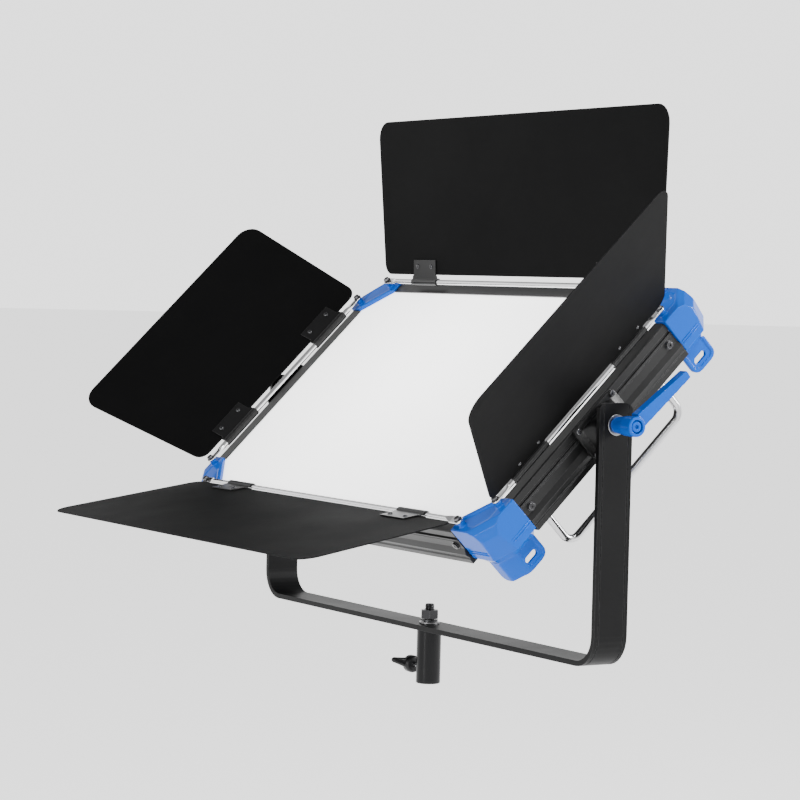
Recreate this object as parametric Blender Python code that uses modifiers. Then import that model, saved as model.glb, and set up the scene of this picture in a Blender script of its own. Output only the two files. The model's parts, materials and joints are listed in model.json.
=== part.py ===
"""LED panel light with a four-leaf barn door set, on a U-shaped yoke with a stand socket.

Frame: metres, +Z up. The light faces -Y and is tilted back. +X is the side of the clamp lever.
Origin: the centre of the stand socket's mouth, where a stand's stud goes in.

Names used below: the head's own axes are u (along the yoke's pivot), v (up the face) and n (out of
the face), and its origin is on the pivot. A leaf's own axes are s (along its hinge rod), w (away
from the rod) and t (its thickness).
"""

import math

import bmesh
import bpy
from mathutils import Matrix, Vector

# ---------------------------------------------------------------- driving dimensions
GAP = 0.0003  # clearance between pieces that touch

SOCKET_RADIUS = 0.0125
SOCKET_BORE_RADIUS = 0.0080
SOCKET_BORE_DEPTH = 0.0440
THUMB_SCREW_HEIGHT = 0.0155
THUMB_SCREW_LEAN = math.radians(-14)

YOKE_WIDTH = 0.6440
STRAP_WIDTH = 0.0370
STRAP_THICKNESS = 0.0052
STRAP_BASE_HEIGHT = 0.0560
STRAP_BEND_RADIUS = 0.0300
STRAP_TOP = 0.3035
GROOVE_OFFSET = 0.0140
STUD_RADIUS = 0.0050

PIVOT_HEIGHT = 0.2832
TILT = math.radians(45.3)  # of the face, back from upright

OPENING_U = 0.2795  # half size of the lit opening
OPENING_V = 0.1480
LIP_N = 0.0170  # front of the frame
BACK_N = -0.0230  # back of the frame
RAIL_WALL = 0.0022
RAIL_FLANGE = -0.0037  # where a rail's rear flange ends, from the opening's edge
RAIL_OUT = 0.0155  # from the opening's edge to the rail's outer wall
DIFFUSER_N = 0.0149
DIFFUSER_THICKNESS = 0.0024
CORNER_U = 0.2432  # where the corner castings start, along the long rails
CORNER_V = 0.1168  # and along the short rails
CORNER_OUT_U = 0.2982
CORNER_OUT_V = 0.1632
CORNER_FRONT = 0.0190
CORNER_REAR = -0.0190
FOOT_REAR = -0.0540
GUARD_END_U = 0.2520  # where the guard of a lower casting ends, under the long rail

ROD_RADIUS = 0.0030
ROD_N = 0.0255
ROD_U = 0.2870  # of the two side rods
ROD_V = 0.1555  # of the top and bottom rods
ROD_SCREW_U = 0.2570
ROD_SCREW_V = 0.1265

SHEET = 0.0012  # leaf thickness
LEAF_START = 0.0080  # from the rod's axis to the leaf's edge
CLIP_LENGTH = 0.0500
CLIP_REACH = 0.0240

# name: turn of the hinge about n, angle above the frame, rod half length, leaf reach,
# half width at the rod, half width at the free edge, clip distance from the middle
LEAVES = {
    "top": dict(turn=0, angle=47.2, rod=ROD_SCREW_U, reach=0.1765, near=0.2600, far=0.2740, clip=0.1750),
    "right": dict(turn=-90, angle=48.6, rod=ROD_SCREW_V, reach=0.1895, near=0.1330, far=0.1457, clip=0.0760),
    "bottom": dict(turn=180, angle=34.8, rod=ROD_SCREW_U, reach=0.1765, near=0.2600, far=0.2740, clip=0.1750),
    "left": dict(turn=90, angle=30.9, rod=ROD_SCREW_V, reach=0.1895, near=0.1330, far=0.1457, clip=0.0760),
}

LEVER_REACH = 0.0765
LEVER_ANGLE = math.radians(-4.0)  # of the lever, from v towards n
HUB_END = 0.3558

HANDLE_U = 0.2670
HANDLE_HALF = 0.0880
HANDLE_REAR = -0.0750
HANDLE_RADIUS = 0.0040
HANDLE_BEND = 0.0120

BOX_HALF_U = 0.1150
BOX_HALF_V = 0.0700
BOX_REAR = -0.0600

FINISHES = {
    "black_powder_coat": ((0.020, 0.020, 0.021), 0.55, 0.0),
    "black_anodised": ((0.030, 0.030, 0.032), 0.40, 0.6),
    "blue_paint": ((0.030, 0.210, 0.720), 0.28, 0.0),
    "chrome": ((0.80, 0.80, 0.80), 0.12, 1.0),
    "zinc": ((0.62, 0.62, 0.63), 0.30, 1.0),
    "black_oxide": ((0.025, 0.025, 0.027), 0.35, 0.8),
    "opal": ((0.86, 0.86, 0.86), 0.45, 0.0),
    "board": ((0.82, 0.82, 0.80), 0.50, 0.0),
    "black_plastic": ((0.022, 0.022, 0.024), 0.50, 0.0),
    "display": ((0.010, 0.012, 0.015), 0.10, 0.0),
}


# ---------------------------------------------------------------- scene and materials
def clear_scene():
    for obj in list(bpy.data.objects):
        bpy.data.objects.remove(obj, do_unlink=True)


def new_collection(name):
    collection = bpy.data.collections.new(name)
    bpy.context.scene.collection.children.link(collection)
    return collection


def make_finish(name):
    color, roughness, metallic = FINISHES[name]
    material = bpy.data.materials.new(name)
    material.use_nodes = True
    shader = material.node_tree.nodes["Principled BSDF"]
    shader.inputs["Base Color"].default_value = (*color, 1.0)
    shader.inputs["Roughness"].default_value = roughness
    shader.inputs["Metallic"].default_value = metallic
    return material


clear_scene()
PARTS = new_collection("panel_light_with_barn_doors")
CUTTERS = new_collection("cutters")
MATERIALS = {name: make_finish(name) for name in FINISHES}


def make_empty(name, matrix, parent=None):
    empty = bpy.data.objects.new(name, None)
    PARTS.objects.link(empty)
    empty.parent = parent
    empty.matrix_local = matrix
    return empty


def place(name, mesh, finish=None, parent=None, matrix=None):
    """Links a mesh as a named part, or as a cutter when it has no finish."""
    obj = bpy.data.objects.new(name, mesh)
    (PARTS if finish else CUTTERS).objects.link(obj)
    obj.parent = parent
    obj.matrix_local = matrix or Matrix()
    if finish:
        mesh.materials.append(MATERIALS[finish])
    else:
        obj.hide_render = True
        obj.display_type = "WIRE"
    return obj


def cut(obj, other, operation="DIFFERENCE"):
    modifier = obj.modifiers.new(operation.lower(), "BOOLEAN")
    modifier.operation = operation
    modifier.solver = "EXACT"
    modifier.object = other
    return obj


def join(obj, other):
    return cut(obj, other, "UNION")


# ---------------------------------------------------------------- outlines and meshes
def arc(centre, radius, start, end, steps):
    """Points on an arc, angles in degrees, both ends included."""
    turns = [math.radians(start + (end - start) * i / steps) for i in range(steps + 1)]
    return [(centre[0] + radius * math.cos(a), centre[1] + radius * math.sin(a)) for a in turns]


def rounded(corners, radii, steps=5):
    """The outline through the corners, each turned into an arc of its radius."""
    points = []
    count = len(corners)
    for i, corner in enumerate(corners):
        here = Vector(corner)
        back = (Vector(corners[i - 1]) - here).normalized()
        ahead = (Vector(corners[(i + 1) % count]) - here).normalized()
        radius = radii[i] if isinstance(radii, (list, tuple)) else radii
        if radius <= 0:
            points.append(tuple(here))
            continue
        half = back.angle(ahead) / 2
        middle = here + (back + ahead).normalized() * (radius / math.sin(half))
        first = here + back * (radius / math.tan(half)) - middle
        last = here + ahead * (radius / math.tan(half)) - middle
        sweep = first.angle_signed(last)
        for k in range(steps + 1):
            turned = Matrix.Rotation(-sweep * k / steps, 2) @ first
            points.append(tuple(middle + turned))
    return points


def rectangle(half_x, half_y, centre=(0.0, 0.0)):
    x, y = centre
    return [(x - half_x, y - half_y), (x + half_x, y - half_y), (x + half_x, y + half_y), (x - half_x, y + half_y)]


def mesh_from_curve(curve, name):
    """The closed mesh of a curve, with its caps welded on."""
    holder = bpy.data.objects.new(name, curve)
    CUTTERS.objects.link(holder)
    bpy.context.view_layer.update()
    evaluated = holder.evaluated_get(bpy.context.evaluated_depsgraph_get())
    mesh = bpy.data.meshes.new_from_object(evaluated)
    bpy.data.objects.remove(holder, do_unlink=True)
    bm = bmesh.new()
    bm.from_mesh(mesh)
    bmesh.ops.remove_doubles(bm, verts=bm.verts, dist=0.00001)
    bmesh.ops.recalc_face_normals(bm, faces=bm.faces)
    bm.to_mesh(mesh)
    bm.free()
    mesh.materials.clear()
    return mesh


def plate_mesh(name, outline, low, high):
    """A flat outline in x and y, extruded in z from low to high."""
    curve = bpy.data.curves.new(name, "CURVE")
    curve.dimensions = "2D"
    curve.fill_mode = "BOTH"
    curve.extrude = (high - low) / 2
    spline = curve.splines.new("POLY")
    spline.points.add(len(outline) - 1)
    for point, (x, y) in zip(spline.points, outline):
        point.co = (x, y, 0.0, 1.0)
    spline.use_cyclic_u = True
    mesh = mesh_from_curve(curve, name)
    mesh.transform(Matrix.Translation((0, 0, (low + high) / 2)))
    return mesh


def tube_mesh(name, points, radius, sides=12):
    """A round bar along a list of points."""
    curve = bpy.data.curves.new(name, "CURVE")
    curve.dimensions = "3D"
    curve.bevel_depth = radius
    curve.bevel_resolution = (sides - 4) // 2
    curve.use_fill_caps = True
    spline = curve.splines.new("POLY")
    spline.points.add(len(points) - 1)
    for point, co in zip(spline.points, points):
        point.co = (*co, 1.0)
    return mesh_from_curve(curve, name)


def cylinder_mesh(name, radius, low, high, sides=24, top_radius=None):
    bm = bmesh.new()
    end = radius if top_radius is None else top_radius
    bmesh.ops.create_cone(bm, cap_ends=True, segments=sides, radius1=radius, radius2=end, depth=high - low)
    bmesh.ops.translate(bm, verts=bm.verts, vec=(0, 0, (low + high) / 2))
    mesh = bpy.data.meshes.new(name)
    bm.to_mesh(mesh)
    bm.free()
    return mesh


def turned(name, profile, finish, parent=None, matrix=None, steps=32):
    """A turned piece about its z axis; the profile runs from top to bottom as (radius, z)."""
    mesh = bpy.data.meshes.new(name)
    mesh.from_pydata([(r, 0, z) for r, z in profile], [(i, i + 1) for i in range(len(profile) - 1)], [])
    obj = place(name, mesh, finish, parent, matrix)
    screw = obj.modifiers.new("turn", "SCREW")
    screw.axis = "Z"
    screw.steps = steps
    screw.render_steps = steps
    screw.use_merge_vertices = True
    screw.merge_threshold = 0.00001
    screw.use_smooth_shade = True
    return obj


def at(x, y, z):
    return Matrix.Translation((x, y, z))


def turn(degrees, axis):
    return Matrix.Rotation(math.radians(degrees), 4, axis)


ALONG_X = turn(90, "Y")  # stands a piece made along z on the x axis
ALONG_MINUS_X = turn(-90, "Y")
OUTLINE_XZ = turn(90, "X")  # an outline's y becomes z, and its extrusion runs along -y


# ---------------------------------------------------------------- yoke and stand socket
def make_socket():
    top = STRAP_BASE_HEIGHT - GAP
    shoulder = SOCKET_BORE_DEPTH
    profile = [
        (STUD_RADIUS + GAP, top), (SOCKET_RADIUS - 0.0006, top), (SOCKET_RADIUS, top - 0.0006),
        (SOCKET_RADIUS, 0.0006), (SOCKET_RADIUS - 0.0006, 0.0), (SOCKET_BORE_RADIUS + 0.0008, 0.0),
        (SOCKET_BORE_RADIUS, 0.0010), (SOCKET_BORE_RADIUS, shoulder),
        (STUD_RADIUS + GAP, shoulder), (STUD_RADIUS + GAP, top),
    ]
    socket = turned("stand_socket", profile, "black_anodised", steps=40)
    hole = cylinder_mesh("thumb_hole", 0.0034, 0.004, 0.020, 16)
    cut(socket, place("thumb_hole", hole, matrix=at(0, 0, THUMB_SCREW_HEIGHT) @ ALONG_MINUS_X))


def make_stud():
    deck = STRAP_BASE_HEIGHT + STRAP_THICKNESS
    stud_top = deck + 0.0208
    profile = [
        (0.0, stud_top), (STUD_RADIUS - 0.0010, stud_top), (STUD_RADIUS, stud_top - 0.0010),
        (STUD_RADIUS, SOCKET_BORE_DEPTH + 0.0005), (0.0, SOCKET_BORE_DEPTH + 0.0005),
    ]
    turned("socket_stud", profile, "black_oxide", steps=20)
    bore = STUD_RADIUS + GAP
    levels = [("flat_washer", 0.0105, 0.0018), ("spring_washer", 0.0088, 0.0026)]
    base = deck
    for name, radius, height in levels:
        low, high = base + GAP, base + GAP + height
        ring = [(bore, high), (radius, high), (radius, low), (bore, low), (bore, high)]
        turned(name, ring, "zinc" if name == "flat_washer" else "black_oxide", steps=24)
        base = high
    nut = place("stud_nut", cylinder_mesh("stud_nut", 0.0098, base + GAP, base + 0.0095, 6), "black_oxide")
    cut(nut, place("nut_bore", cylinder_mesh("nut_bore", bore, base - 0.01, base + 0.02, 20)))


def strap_outline(inset, top):
    """The yoke's outer face, moved inwards by inset, from one arm's top to the other's."""
    half = YOKE_WIDTH / 2 - inset
    radius = STRAP_BEND_RADIUS - inset
    base = STRAP_BASE_HEIGHT + inset
    right = arc((half - radius, base + radius), radius, -90, 0, 8)
    left = arc((-half + radius, base + radius), radius, 180, 270, 8)
    return [(-half, top)] + left + right + [(half, top)]


def make_yoke():
    # the arms are made too long here, and cut to their rounded ends below
    blank = STRAP_TOP + 0.004
    loop = strap_outline(0.0, blank) + list(reversed(strap_outline(STRAP_THICKNESS, blank)))
    half = STRAP_WIDTH / 2
    yoke = place("yoke_strap", plate_mesh("yoke_strap", loop, -half, half), "black_powder_coat", matrix=OUTLINE_XZ)
    for side in (-1, 1):
        band = strap_outline(-0.002, blank + 0.002) + list(reversed(strap_outline(0.0005, blank + 0.002)))
        low = side * GROOVE_OFFSET - 0.0006
        groove = plate_mesh("groove", band, low, low + 0.0012)
        cut(yoke, place("groove", groove, matrix=OUTLINE_XZ))
    ends = rounded(rectangle(half + 0.001, 0.16, (0, STRAP_TOP - 0.16)), [0, 0, 0.009, 0.009])
    trim = plate_mesh("arm_ends", ends, -0.40, 0.40)
    yz_outline = Matrix(((0, 0, 1, 0), (1, 0, 0, 0), (0, 1, 0, 0), (0, 0, 0, 1)))
    cut(yoke, place("arm_ends", trim, matrix=yz_outline), "INTERSECT")
    pivot_hole = cylinder_mesh("pivot_hole", 0.0045, -0.40, 0.40, 20)
    cut(yoke, place("pivot_hole", pivot_hole, matrix=at(0, 0, PIVOT_HEIGHT) @ ALONG_X))
    stud_hole = cylinder_mesh("stud_hole", STUD_RADIUS + GAP, 0.04, 0.08, 20)
    cut(yoke, place("stud_hole", stud_hole))


def make_thumb_screw():
    frame = at(0, 0, THUMB_SCREW_HEIGHT) @ ALONG_MINUS_X
    holder = make_empty("thumb_screw_frame", frame)
    shank = turned(
        "socket_thumb_screw",
        [(0.0, 0.0385), (0.0055, 0.0385), (0.0088, 0.0365), (0.0090, 0.0285), (0.0075, 0.0272),
         (0.0030, 0.0272), (0.0030, 0.0088), (0.0, 0.0088)],
        "black_plastic", holder, steps=24,
    )
    tip, middle = 0.0030, 0.0068
    wing = rounded(
        [(-0.0250, -tip), (0.0, -middle), (0.0250, -tip), (0.0250, tip), (0.0, middle), (-0.0250, tip)],
        [0.0026, 0, 0.0026, 0.0026, 0, 0.0026], 3,
    )
    # the wings run along y, one end leaning up at the front
    spread = Matrix.Rotation(math.radians(-90) - THUMB_SCREW_LEAN, 4, "Z")
    join(shank, place("wings", plate_mesh("wings", wing, 0.0298, 0.0368), parent=holder, matrix=spread))


# ---------------------------------------------------------------- head: frame, light and back
def rail_profile():
    """Section of a frame rail: x from the opening's edge outwards, y along n."""
    out = RAIL_OUT
    return [
        (0.0, LIP_N), (out - 0.0013, LIP_N), (out, LIP_N - 0.0013),
        (out, 0.0092), (out - 0.0015, 0.0088), (out - 0.0015, 0.0068),
        (out + 0.0007, 0.0062), (out + 0.0007, 0.0048), (out, 0.0044), (out, 0.0036),
        (out + 0.0005, 0.0032), (out + 0.0005, -0.0053), (out + 0.0038, -0.0108),
        (out + 0.0020, -0.0165), (out + 0.0031, -0.0178), (out + 0.0031, BACK_N),
        (RAIL_FLANGE, BACK_N), (RAIL_FLANGE, BACK_N + RAIL_WALL),
        (out - RAIL_WALL, BACK_N + RAIL_WALL), (out - RAIL_WALL, 0.0153), (0.0, 0.0153),
    ]


def make_rails():
    """Four lengths of one extrusion, each from casting to casting."""
    sides = {
        "top": (0, OPENING_V, CORNER_U), "right": (-90, OPENING_U, CORNER_V),
        "bottom": (180, OPENING_V, CORNER_U), "left": (90, OPENING_U, CORNER_V),
    }
    # the section's x becomes the outward direction, its y the head's n, and it is extruded along the rail
    stand = Matrix(((0, 0, 1, 0), (1, 0, 0, 0), (0, 1, 0, 0), (0, 0, 0, 1)))
    for side, (angle, edge, half) in sides.items():
        length = half - GAP
        mesh = plate_mesh("rail", rail_profile(), -length, length)
        frame = turn(angle, "Z") @ at(0, edge, 0) @ stand
        place(f"rail_{side}", mesh, "black_anodised", HEAD, frame)


def mirrored(mesh, su, sv):
    """Moves a corner made at +u +v to the corner with these signs."""
    mesh.transform(Matrix.Diagonal((su, sv, 1, 1)))
    if su * sv < 0:
        mesh.flip_normals()
    return mesh


def corner_outline(out_u, out_v, in_u, in_v, facet, start_u, start_v):
    """An L round a corner, with its outer and inner corners cut off; six outer and inner edges."""
    notch = 0.0120
    return [
        (in_u, start_v), (out_u, start_v), (out_u, out_v - facet), (out_u - facet, out_v),
        (start_u, out_v), (start_u, in_v), (in_u - notch, in_v), (in_u, in_v - notch),
    ]


def loft_mesh(name, low_outline, low, high_outline, high):
    """A body between two outlines with the same number of points."""
    bm = bmesh.new()
    rings = [[bm.verts.new((x, y, z)) for x, y in outline] for outline, z in ((low_outline, low), (high_outline, high))]
    count = len(low_outline)
    for i in range(count):
        k = (i + 1) % count
        bm.faces.new((rings[0][i], rings[0][k], rings[1][k], rings[1][i]))
    bm.faces.new(rings[0])
    bm.faces.new(rings[1])
    bmesh.ops.recalc_face_normals(bm, faces=bm.faces)
    mesh = bpy.data.meshes.new(name)
    bm.to_mesh(mesh)
    bm.free()
    return mesh


def make_corner(name, su, sv):
    def add(part_name, mesh):
        return place(part_name, mirrored(mesh, su, sv), parent=HEAD)

    wall_u, wall_v = OPENING_U + 0.0078, OPENING_V + 0.0076
    facet = 0.0130
    shell = corner_outline(CORNER_OUT_U, CORNER_OUT_V, wall_u, wall_v, facet, CORNER_U, CORNER_V)
    outline = rounded(shell, [0, 0.0008, 0.006, 0.006, 0.0008, 0, 0, 0], 3)
    mesh = plate_mesh(name, outline, CORNER_REAR, CORNER_FRONT)
    casting = place(name, mirrored(mesh, su, sv), "blue_paint", HEAD)

    # the plate across the corner, with a raised rim along its inner edge
    inner_a = (OPENING_U + 0.0007, CORNER_V)
    inner_b = (CORNER_U, OPENING_V + 0.0006)
    web = [inner_a, (wall_u + 0.004, CORNER_V + 0.0001), (wall_u + 0.004, wall_v - 0.004),
           (wall_u - 0.004, wall_v + 0.004), (CORNER_U + 0.0001, wall_v + 0.004), inner_b]
    join(casting, add("web", plate_mesh("web", web, 0.0153, CORNER_FRONT - 0.0003)))
    along = (Vector(inner_a) - Vector(inner_b)).normalized()
    across = Vector((-along.y, along.x)) * 0.0052
    trim = 0.0022
    rim = [Vector(inner_a) - along * trim, Vector(inner_a) - along * trim * 2 + across,
           Vector(inner_b) + along * trim * 2 + across, Vector(inner_b) + along * trim]
    rim_points = rounded([tuple(p) for p in rim], 0.0010, 2)
    join(casting, add("rim", plate_mesh("rim", rim_points, 0.0160, CORNER_FRONT + 0.0013)))
    add_guard(casting, su, sv, wall_u, wall_v)

    for u, v in ((ROD_SCREW_U, ROD_V), (ROD_U, ROD_SCREW_V)):
        boss = cylinder_mesh("boss", 0.0037, 0.0170, ROD_N - 0.0011 - GAP, 20)
        boss.transform(at(u, v, 0))
        join(casting, add("boss", boss))
        hole = cylinder_mesh("screw_hole", 0.0019, 0.0156, 0.0300, 12)
        hole.transform(at(u, v, 0))
        cut(casting, add("screw_hole", hole))

    # the facet across the corner widens to the rear and to the front, where its edge is bevelled
    waist = 0.0060
    front_slope = 0.65
    bevel_start = 0.0150
    for normal, depth in (((1, 1, -0.24), waist), ((1, 1, front_slope), waist), ((1, 1, 2.0), bevel_start)):
        normal = Vector(normal).normalized()
        run = (depth - waist) * front_slope
        block = cylinder_mesh("facet", 0.060, 0.0, 0.040, 4)
        block.transform(normal.to_track_quat("Z", "Y").to_matrix().to_4x4())
        block.transform(at(CORNER_OUT_U - run, CORNER_OUT_V - facet, depth))
        cut(casting, add("facet", block))


def add_guard(casting, su, sv, wall_u, wall_v):
    """The slotted loop behind a corner: along the side, and round the corner on the lower castings."""
    def add(part_name, mesh):
        return place(part_name, mirrored(mesh, su, sv), parent=HEAD)

    out_u, out_v, wall = CORNER_OUT_U - 0.0155, CORNER_OUT_V - 0.0060, 0.0050
    skin, inset = 0.0007, 0.0002
    end = CORNER_V - GAP
    low, high = CORNER_REAR - 0.0110, CORNER_REAR + 0.0015
    radius = 0.0085
    if sv > 0:
        guard = rounded(rectangle(wall / 2, 0.0165, (out_u - wall / 2, end + 0.0165)), 0.0012, 2)
        foot_low = [(out_u - wall + inset, end + inset), (out_u - inset, end + inset),
                    (out_u - inset, end + 0.0290), (out_u - wall + inset, end + 0.0290)]
        foot_high = [(wall_u, end + 0.001), (CORNER_OUT_U - skin, end + 0.001),
                     (CORNER_OUT_U - skin, CORNER_OUT_V - 0.0200), (wall_u, CORNER_OUT_V - 0.0200)]
    else:
        shape = corner_outline(out_u, out_v, out_u - wall, out_v - wall, 0.0145, GUARD_END_U, end)
        guard = rounded(shape, [0.0012, 0.0012, 0.006, 0.006, 0.0012, 0.0012, 0.004, 0.004], 3)
        foot_low = corner_outline(
            out_u - inset, out_v - inset, out_u - wall + inset, out_v - wall + inset, 0.0147, GUARD_END_U + inset,
            end + inset)
        foot_high = corner_outline(
            CORNER_OUT_U - skin, CORNER_OUT_V - skin, wall_u, wall_v, 0.0200, GUARD_END_U, end + 0.001)
    loop = add("guard", plate_mesh("guard", guard, FOOT_REAR, low + 0.0015))
    join(casting, add("foot", loft_mesh("foot", foot_low, low, foot_high, high)))
    join(casting, loop)

    side_end = end + 0.0330 if sv > 0 else CORNER_OUT_V + 0.02
    ends = rounded_end(end, side_end, radius)
    cut(loop, add("ends", upright(plate_mesh("ends", ends, CORNER_OUT_U - 0.05, CORNER_OUT_U), "u")))
    web_end = end + 0.0293 if sv > 0 else CORNER_OUT_V - 0.0225
    pocket = rounded([(end + 0.0037, FOOT_REAR + 0.0037), (web_end, FOOT_REAR + 0.0037),
                      (web_end, low + 0.0010), (end + 0.0037, low + 0.0010)], [0.005, 0.005, 0.001, 0.001], 3)
    cut(casting, add("pocket", upright(plate_mesh("pocket", pocket, out_u - 0.0013, out_u + 0.02), "u")))
    cut(casting, add("slot", slot_mesh(out_u, CORNER_V + 0.0155)))
    if sv > 0:
        neck = arc((CORNER_OUT_V - 0.0120, CORNER_REAR - 0.0068), 0.0062, 0, 330, 11)
        cut(casting, add("neck", upright(plate_mesh("neck", neck, out_u - 0.02, CORNER_OUT_U), "u")))
    else:
        ends = rounded_end(GUARD_END_U, CORNER_OUT_U + 0.02, radius)
        cut(loop, add("ends", upright(plate_mesh("ends", ends, CORNER_OUT_V - 0.02, CORNER_OUT_V), "v")))


def upright(mesh, across):
    """Stands a cutter drawn in (v or u, n) and extruded from low to high so that it runs along u or v."""
    if across == "u":
        mesh.transform(Matrix(((0, 0, 1, 0), (1, 0, 0, 0), (0, 1, 0, 0), (0, 0, 0, 1))))
    else:
        mesh.transform(Matrix(((1, 0, 0, 0), (0, 0, 1, 0), (0, 1, 0, 0), (0, 0, 0, 1))))
        mesh.flip_normals()
    return mesh


def rounded_end(low, high, radius):
    """What is cut away so that a guard's rear edge, between low and high, has round ends."""
    rear = FOOT_REAR
    outline = [(low - 0.002, rear - 0.003), (high + 0.002, rear - 0.003), (high + 0.002, rear + radius)]
    outline += arc((high - radius, rear + radius), radius, 0, -90, 4)
    outline += arc((low + radius, rear + radius), radius, -90, -180, 4)
    return outline + [(low - 0.002, rear + radius)]


def slot_mesh(u, v):
    """A round-ended slot through a guard, along the side."""
    points = rounded(rectangle(0.0078, 0.0031), 0.0030, 3)
    mesh = plate_mesh("slot", points, -0.012, 0.012)
    mesh.transform(turn(90, "X"))
    mesh.transform(turn(90, "Z"))
    mesh.transform(at(u, v, FOOT_REAR + 0.0105))
    return mesh


def make_head_shell():
    outline = rounded(rectangle(OPENING_U + 0.0065, OPENING_V + 0.0065), 0.022, 3)
    low = DIFFUSER_N - DIFFUSER_THICKNESS
    place("diffuser", plate_mesh("diffuser", outline, low, DIFFUSER_N), "opal", HEAD)
    inset = RAIL_FLANGE - GAP
    cover = rounded(rectangle(OPENING_U + inset, OPENING_V + inset), 0.006, 3)
    place("back_cover", plate_mesh("back_cover", cover, BACK_N, BACK_N + 0.0018), "black_powder_coat", HEAD)
    board = rectangle(OPENING_U - 0.010, OPENING_V - 0.010)
    base = BACK_N + 0.0018 + GAP
    place("led_board", plate_mesh("led_board", board, base, base + 0.0020), "board", HEAD)


def make_bracket(side, sign):
    """The foot that carries a pivot on a side rail: a plate that rises to a round boss."""
    rail_face = OPENING_U + RAIL_OUT + 0.0038 + GAP
    boss_end = YOKE_WIDTH / 2 - STRAP_THICKNESS - GAP
    frame = turn(90 * sign, "Y") if sign > 0 else turn(-90, "Y")
    outline = rounded(rectangle(0.0190, 0.0300), 0.003, 3)
    base = plate_mesh("bracket", outline, rail_face, rail_face + 0.0030)
    bracket = place(f"pivot_bracket_{side}", base, "black_powder_coat", HEAD, frame)
    flare = cylinder_mesh("flare", 0.0235, rail_face + 0.0020, boss_end - 0.0040, 4, 0.0165)
    flare.transform(turn(45, "Z"))
    join(bracket, place("flare", flare, parent=HEAD, matrix=frame))
    boss = cylinder_mesh("boss", 0.0150, rail_face + 0.0025, boss_end, 28)
    join(bracket, place("boss", boss, parent=HEAD, matrix=frame))
    hole = cylinder_mesh("bolt_hole", 0.0043, rail_face - 0.01, boss_end + 0.01, 20)
    cut(bracket, place("bolt_hole", hole, parent=HEAD, matrix=frame))


def make_handle(side, sign):
    """A round bar bent to a loop behind the side rail."""
    foot = BACK_N - GAP
    bend = HANDLE_BEND
    corner = HANDLE_HALF - bend
    low = arc((-corner, HANDLE_REAR + bend), bend, 180, 270, 5)
    high = arc((corner, HANDLE_REAR + bend), bend, 270, 360, 5)
    path = [(-HANDLE_HALF, foot)] + low + high + [(HANDLE_HALF, foot)]
    points = [(sign * HANDLE_U, v, n) for v, n in path]
    mesh = tube_mesh("handle", points, HANDLE_RADIUS, 12)
    place(f"rear_handle_{side}", mesh, "chrome", HEAD)


def make_controls():
    """The control box on the back, its display, dials, switch, mains inlet and driver board."""
    outline = rounded(rectangle(BOX_HALF_U, BOX_HALF_V), 0.008, 4)
    top = BACK_N - GAP
    box = place("control_box", plate_mesh("control_box", outline, BOX_REAR, top), "black_powder_coat", HEAD)
    inside = rectangle(BOX_HALF_U - 0.003, BOX_HALF_V - 0.003)
    cut(box, place("inside", plate_mesh("inside", inside, BOX_REAR + 0.003, top + 0.01), parent=HEAD))
    board = rectangle(BOX_HALF_U - 0.015, BOX_HALF_V - 0.015)
    board_mesh = plate_mesh("driver_board", board, top - 0.0080, top - 0.0064)
    place("driver_board", board_mesh, "board", HEAD)

    window = rounded(rectangle(0.030, 0.016), 0.003, 3)
    window_mesh = plate_mesh("display_window", window, BOX_REAR - 0.0015, BOX_REAR - GAP)
    place("display_window", window_mesh, "display", HEAD, at(0, 0.030, 0))

    knob = [(0.0, -0.0135), (0.0078, -0.0135), (0.0090, -0.0123), (0.0095, -0.0006), (0.0, -0.0006)]
    for name, u in (("dimmer_dial", -0.055), ("colour_dial", 0.055)):
        frame = at(u, 0.030, BOX_REAR) @ turn(180, "X")
        profile = [(r, -z) for r, z in knob]
        turned(name, profile, "black_plastic", HEAD, frame, 24)

    # the rocker sits in a window of the box and turns about u
    rocker_v = -0.030
    opening = plate_mesh("switch_opening", rectangle(0.0100, 0.0072), BOX_REAR - 0.01, BOX_REAR + 0.01)
    cut(box, place("switch_opening", opening, parent=HEAD, matrix=at(-0.055, rocker_v, 0)))
    section = [(-0.0058, 0.0035), (0.0058, 0.0035), (0.0058, -0.0005), (0.0, -0.0018), (-0.0058, -0.0034)]
    rocker = plate_mesh("power_switch", section, -0.0092, 0.0092)
    rocker.transform(Matrix(((0, 0, 1, 0), (1, 0, 0, 0), (0, 1, 0, 0), (0, 0, 0, 1))))
    place("power_switch", rocker, "black_plastic", HEAD, at(-0.055, rocker_v, BOX_REAR))

    inlet = rounded(rectangle(0.0150, 0.0120), 0.002, 2)
    low = BOX_REAR - 0.0030
    inlet_frame = at(0.055, rocker_v, 0)
    body = place("mains_inlet", plate_mesh("mains_inlet", inlet, low, BOX_REAR - GAP), "black_plastic", HEAD, inlet_frame)
    recess = rounded(rectangle(0.0118, 0.0088), 0.002, 2)
    recess_mesh = plate_mesh("recess", recess, low - 0.002, low + 0.0018)
    cut(body, place("recess", recess_mesh, parent=HEAD, matrix=inlet_frame))


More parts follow.
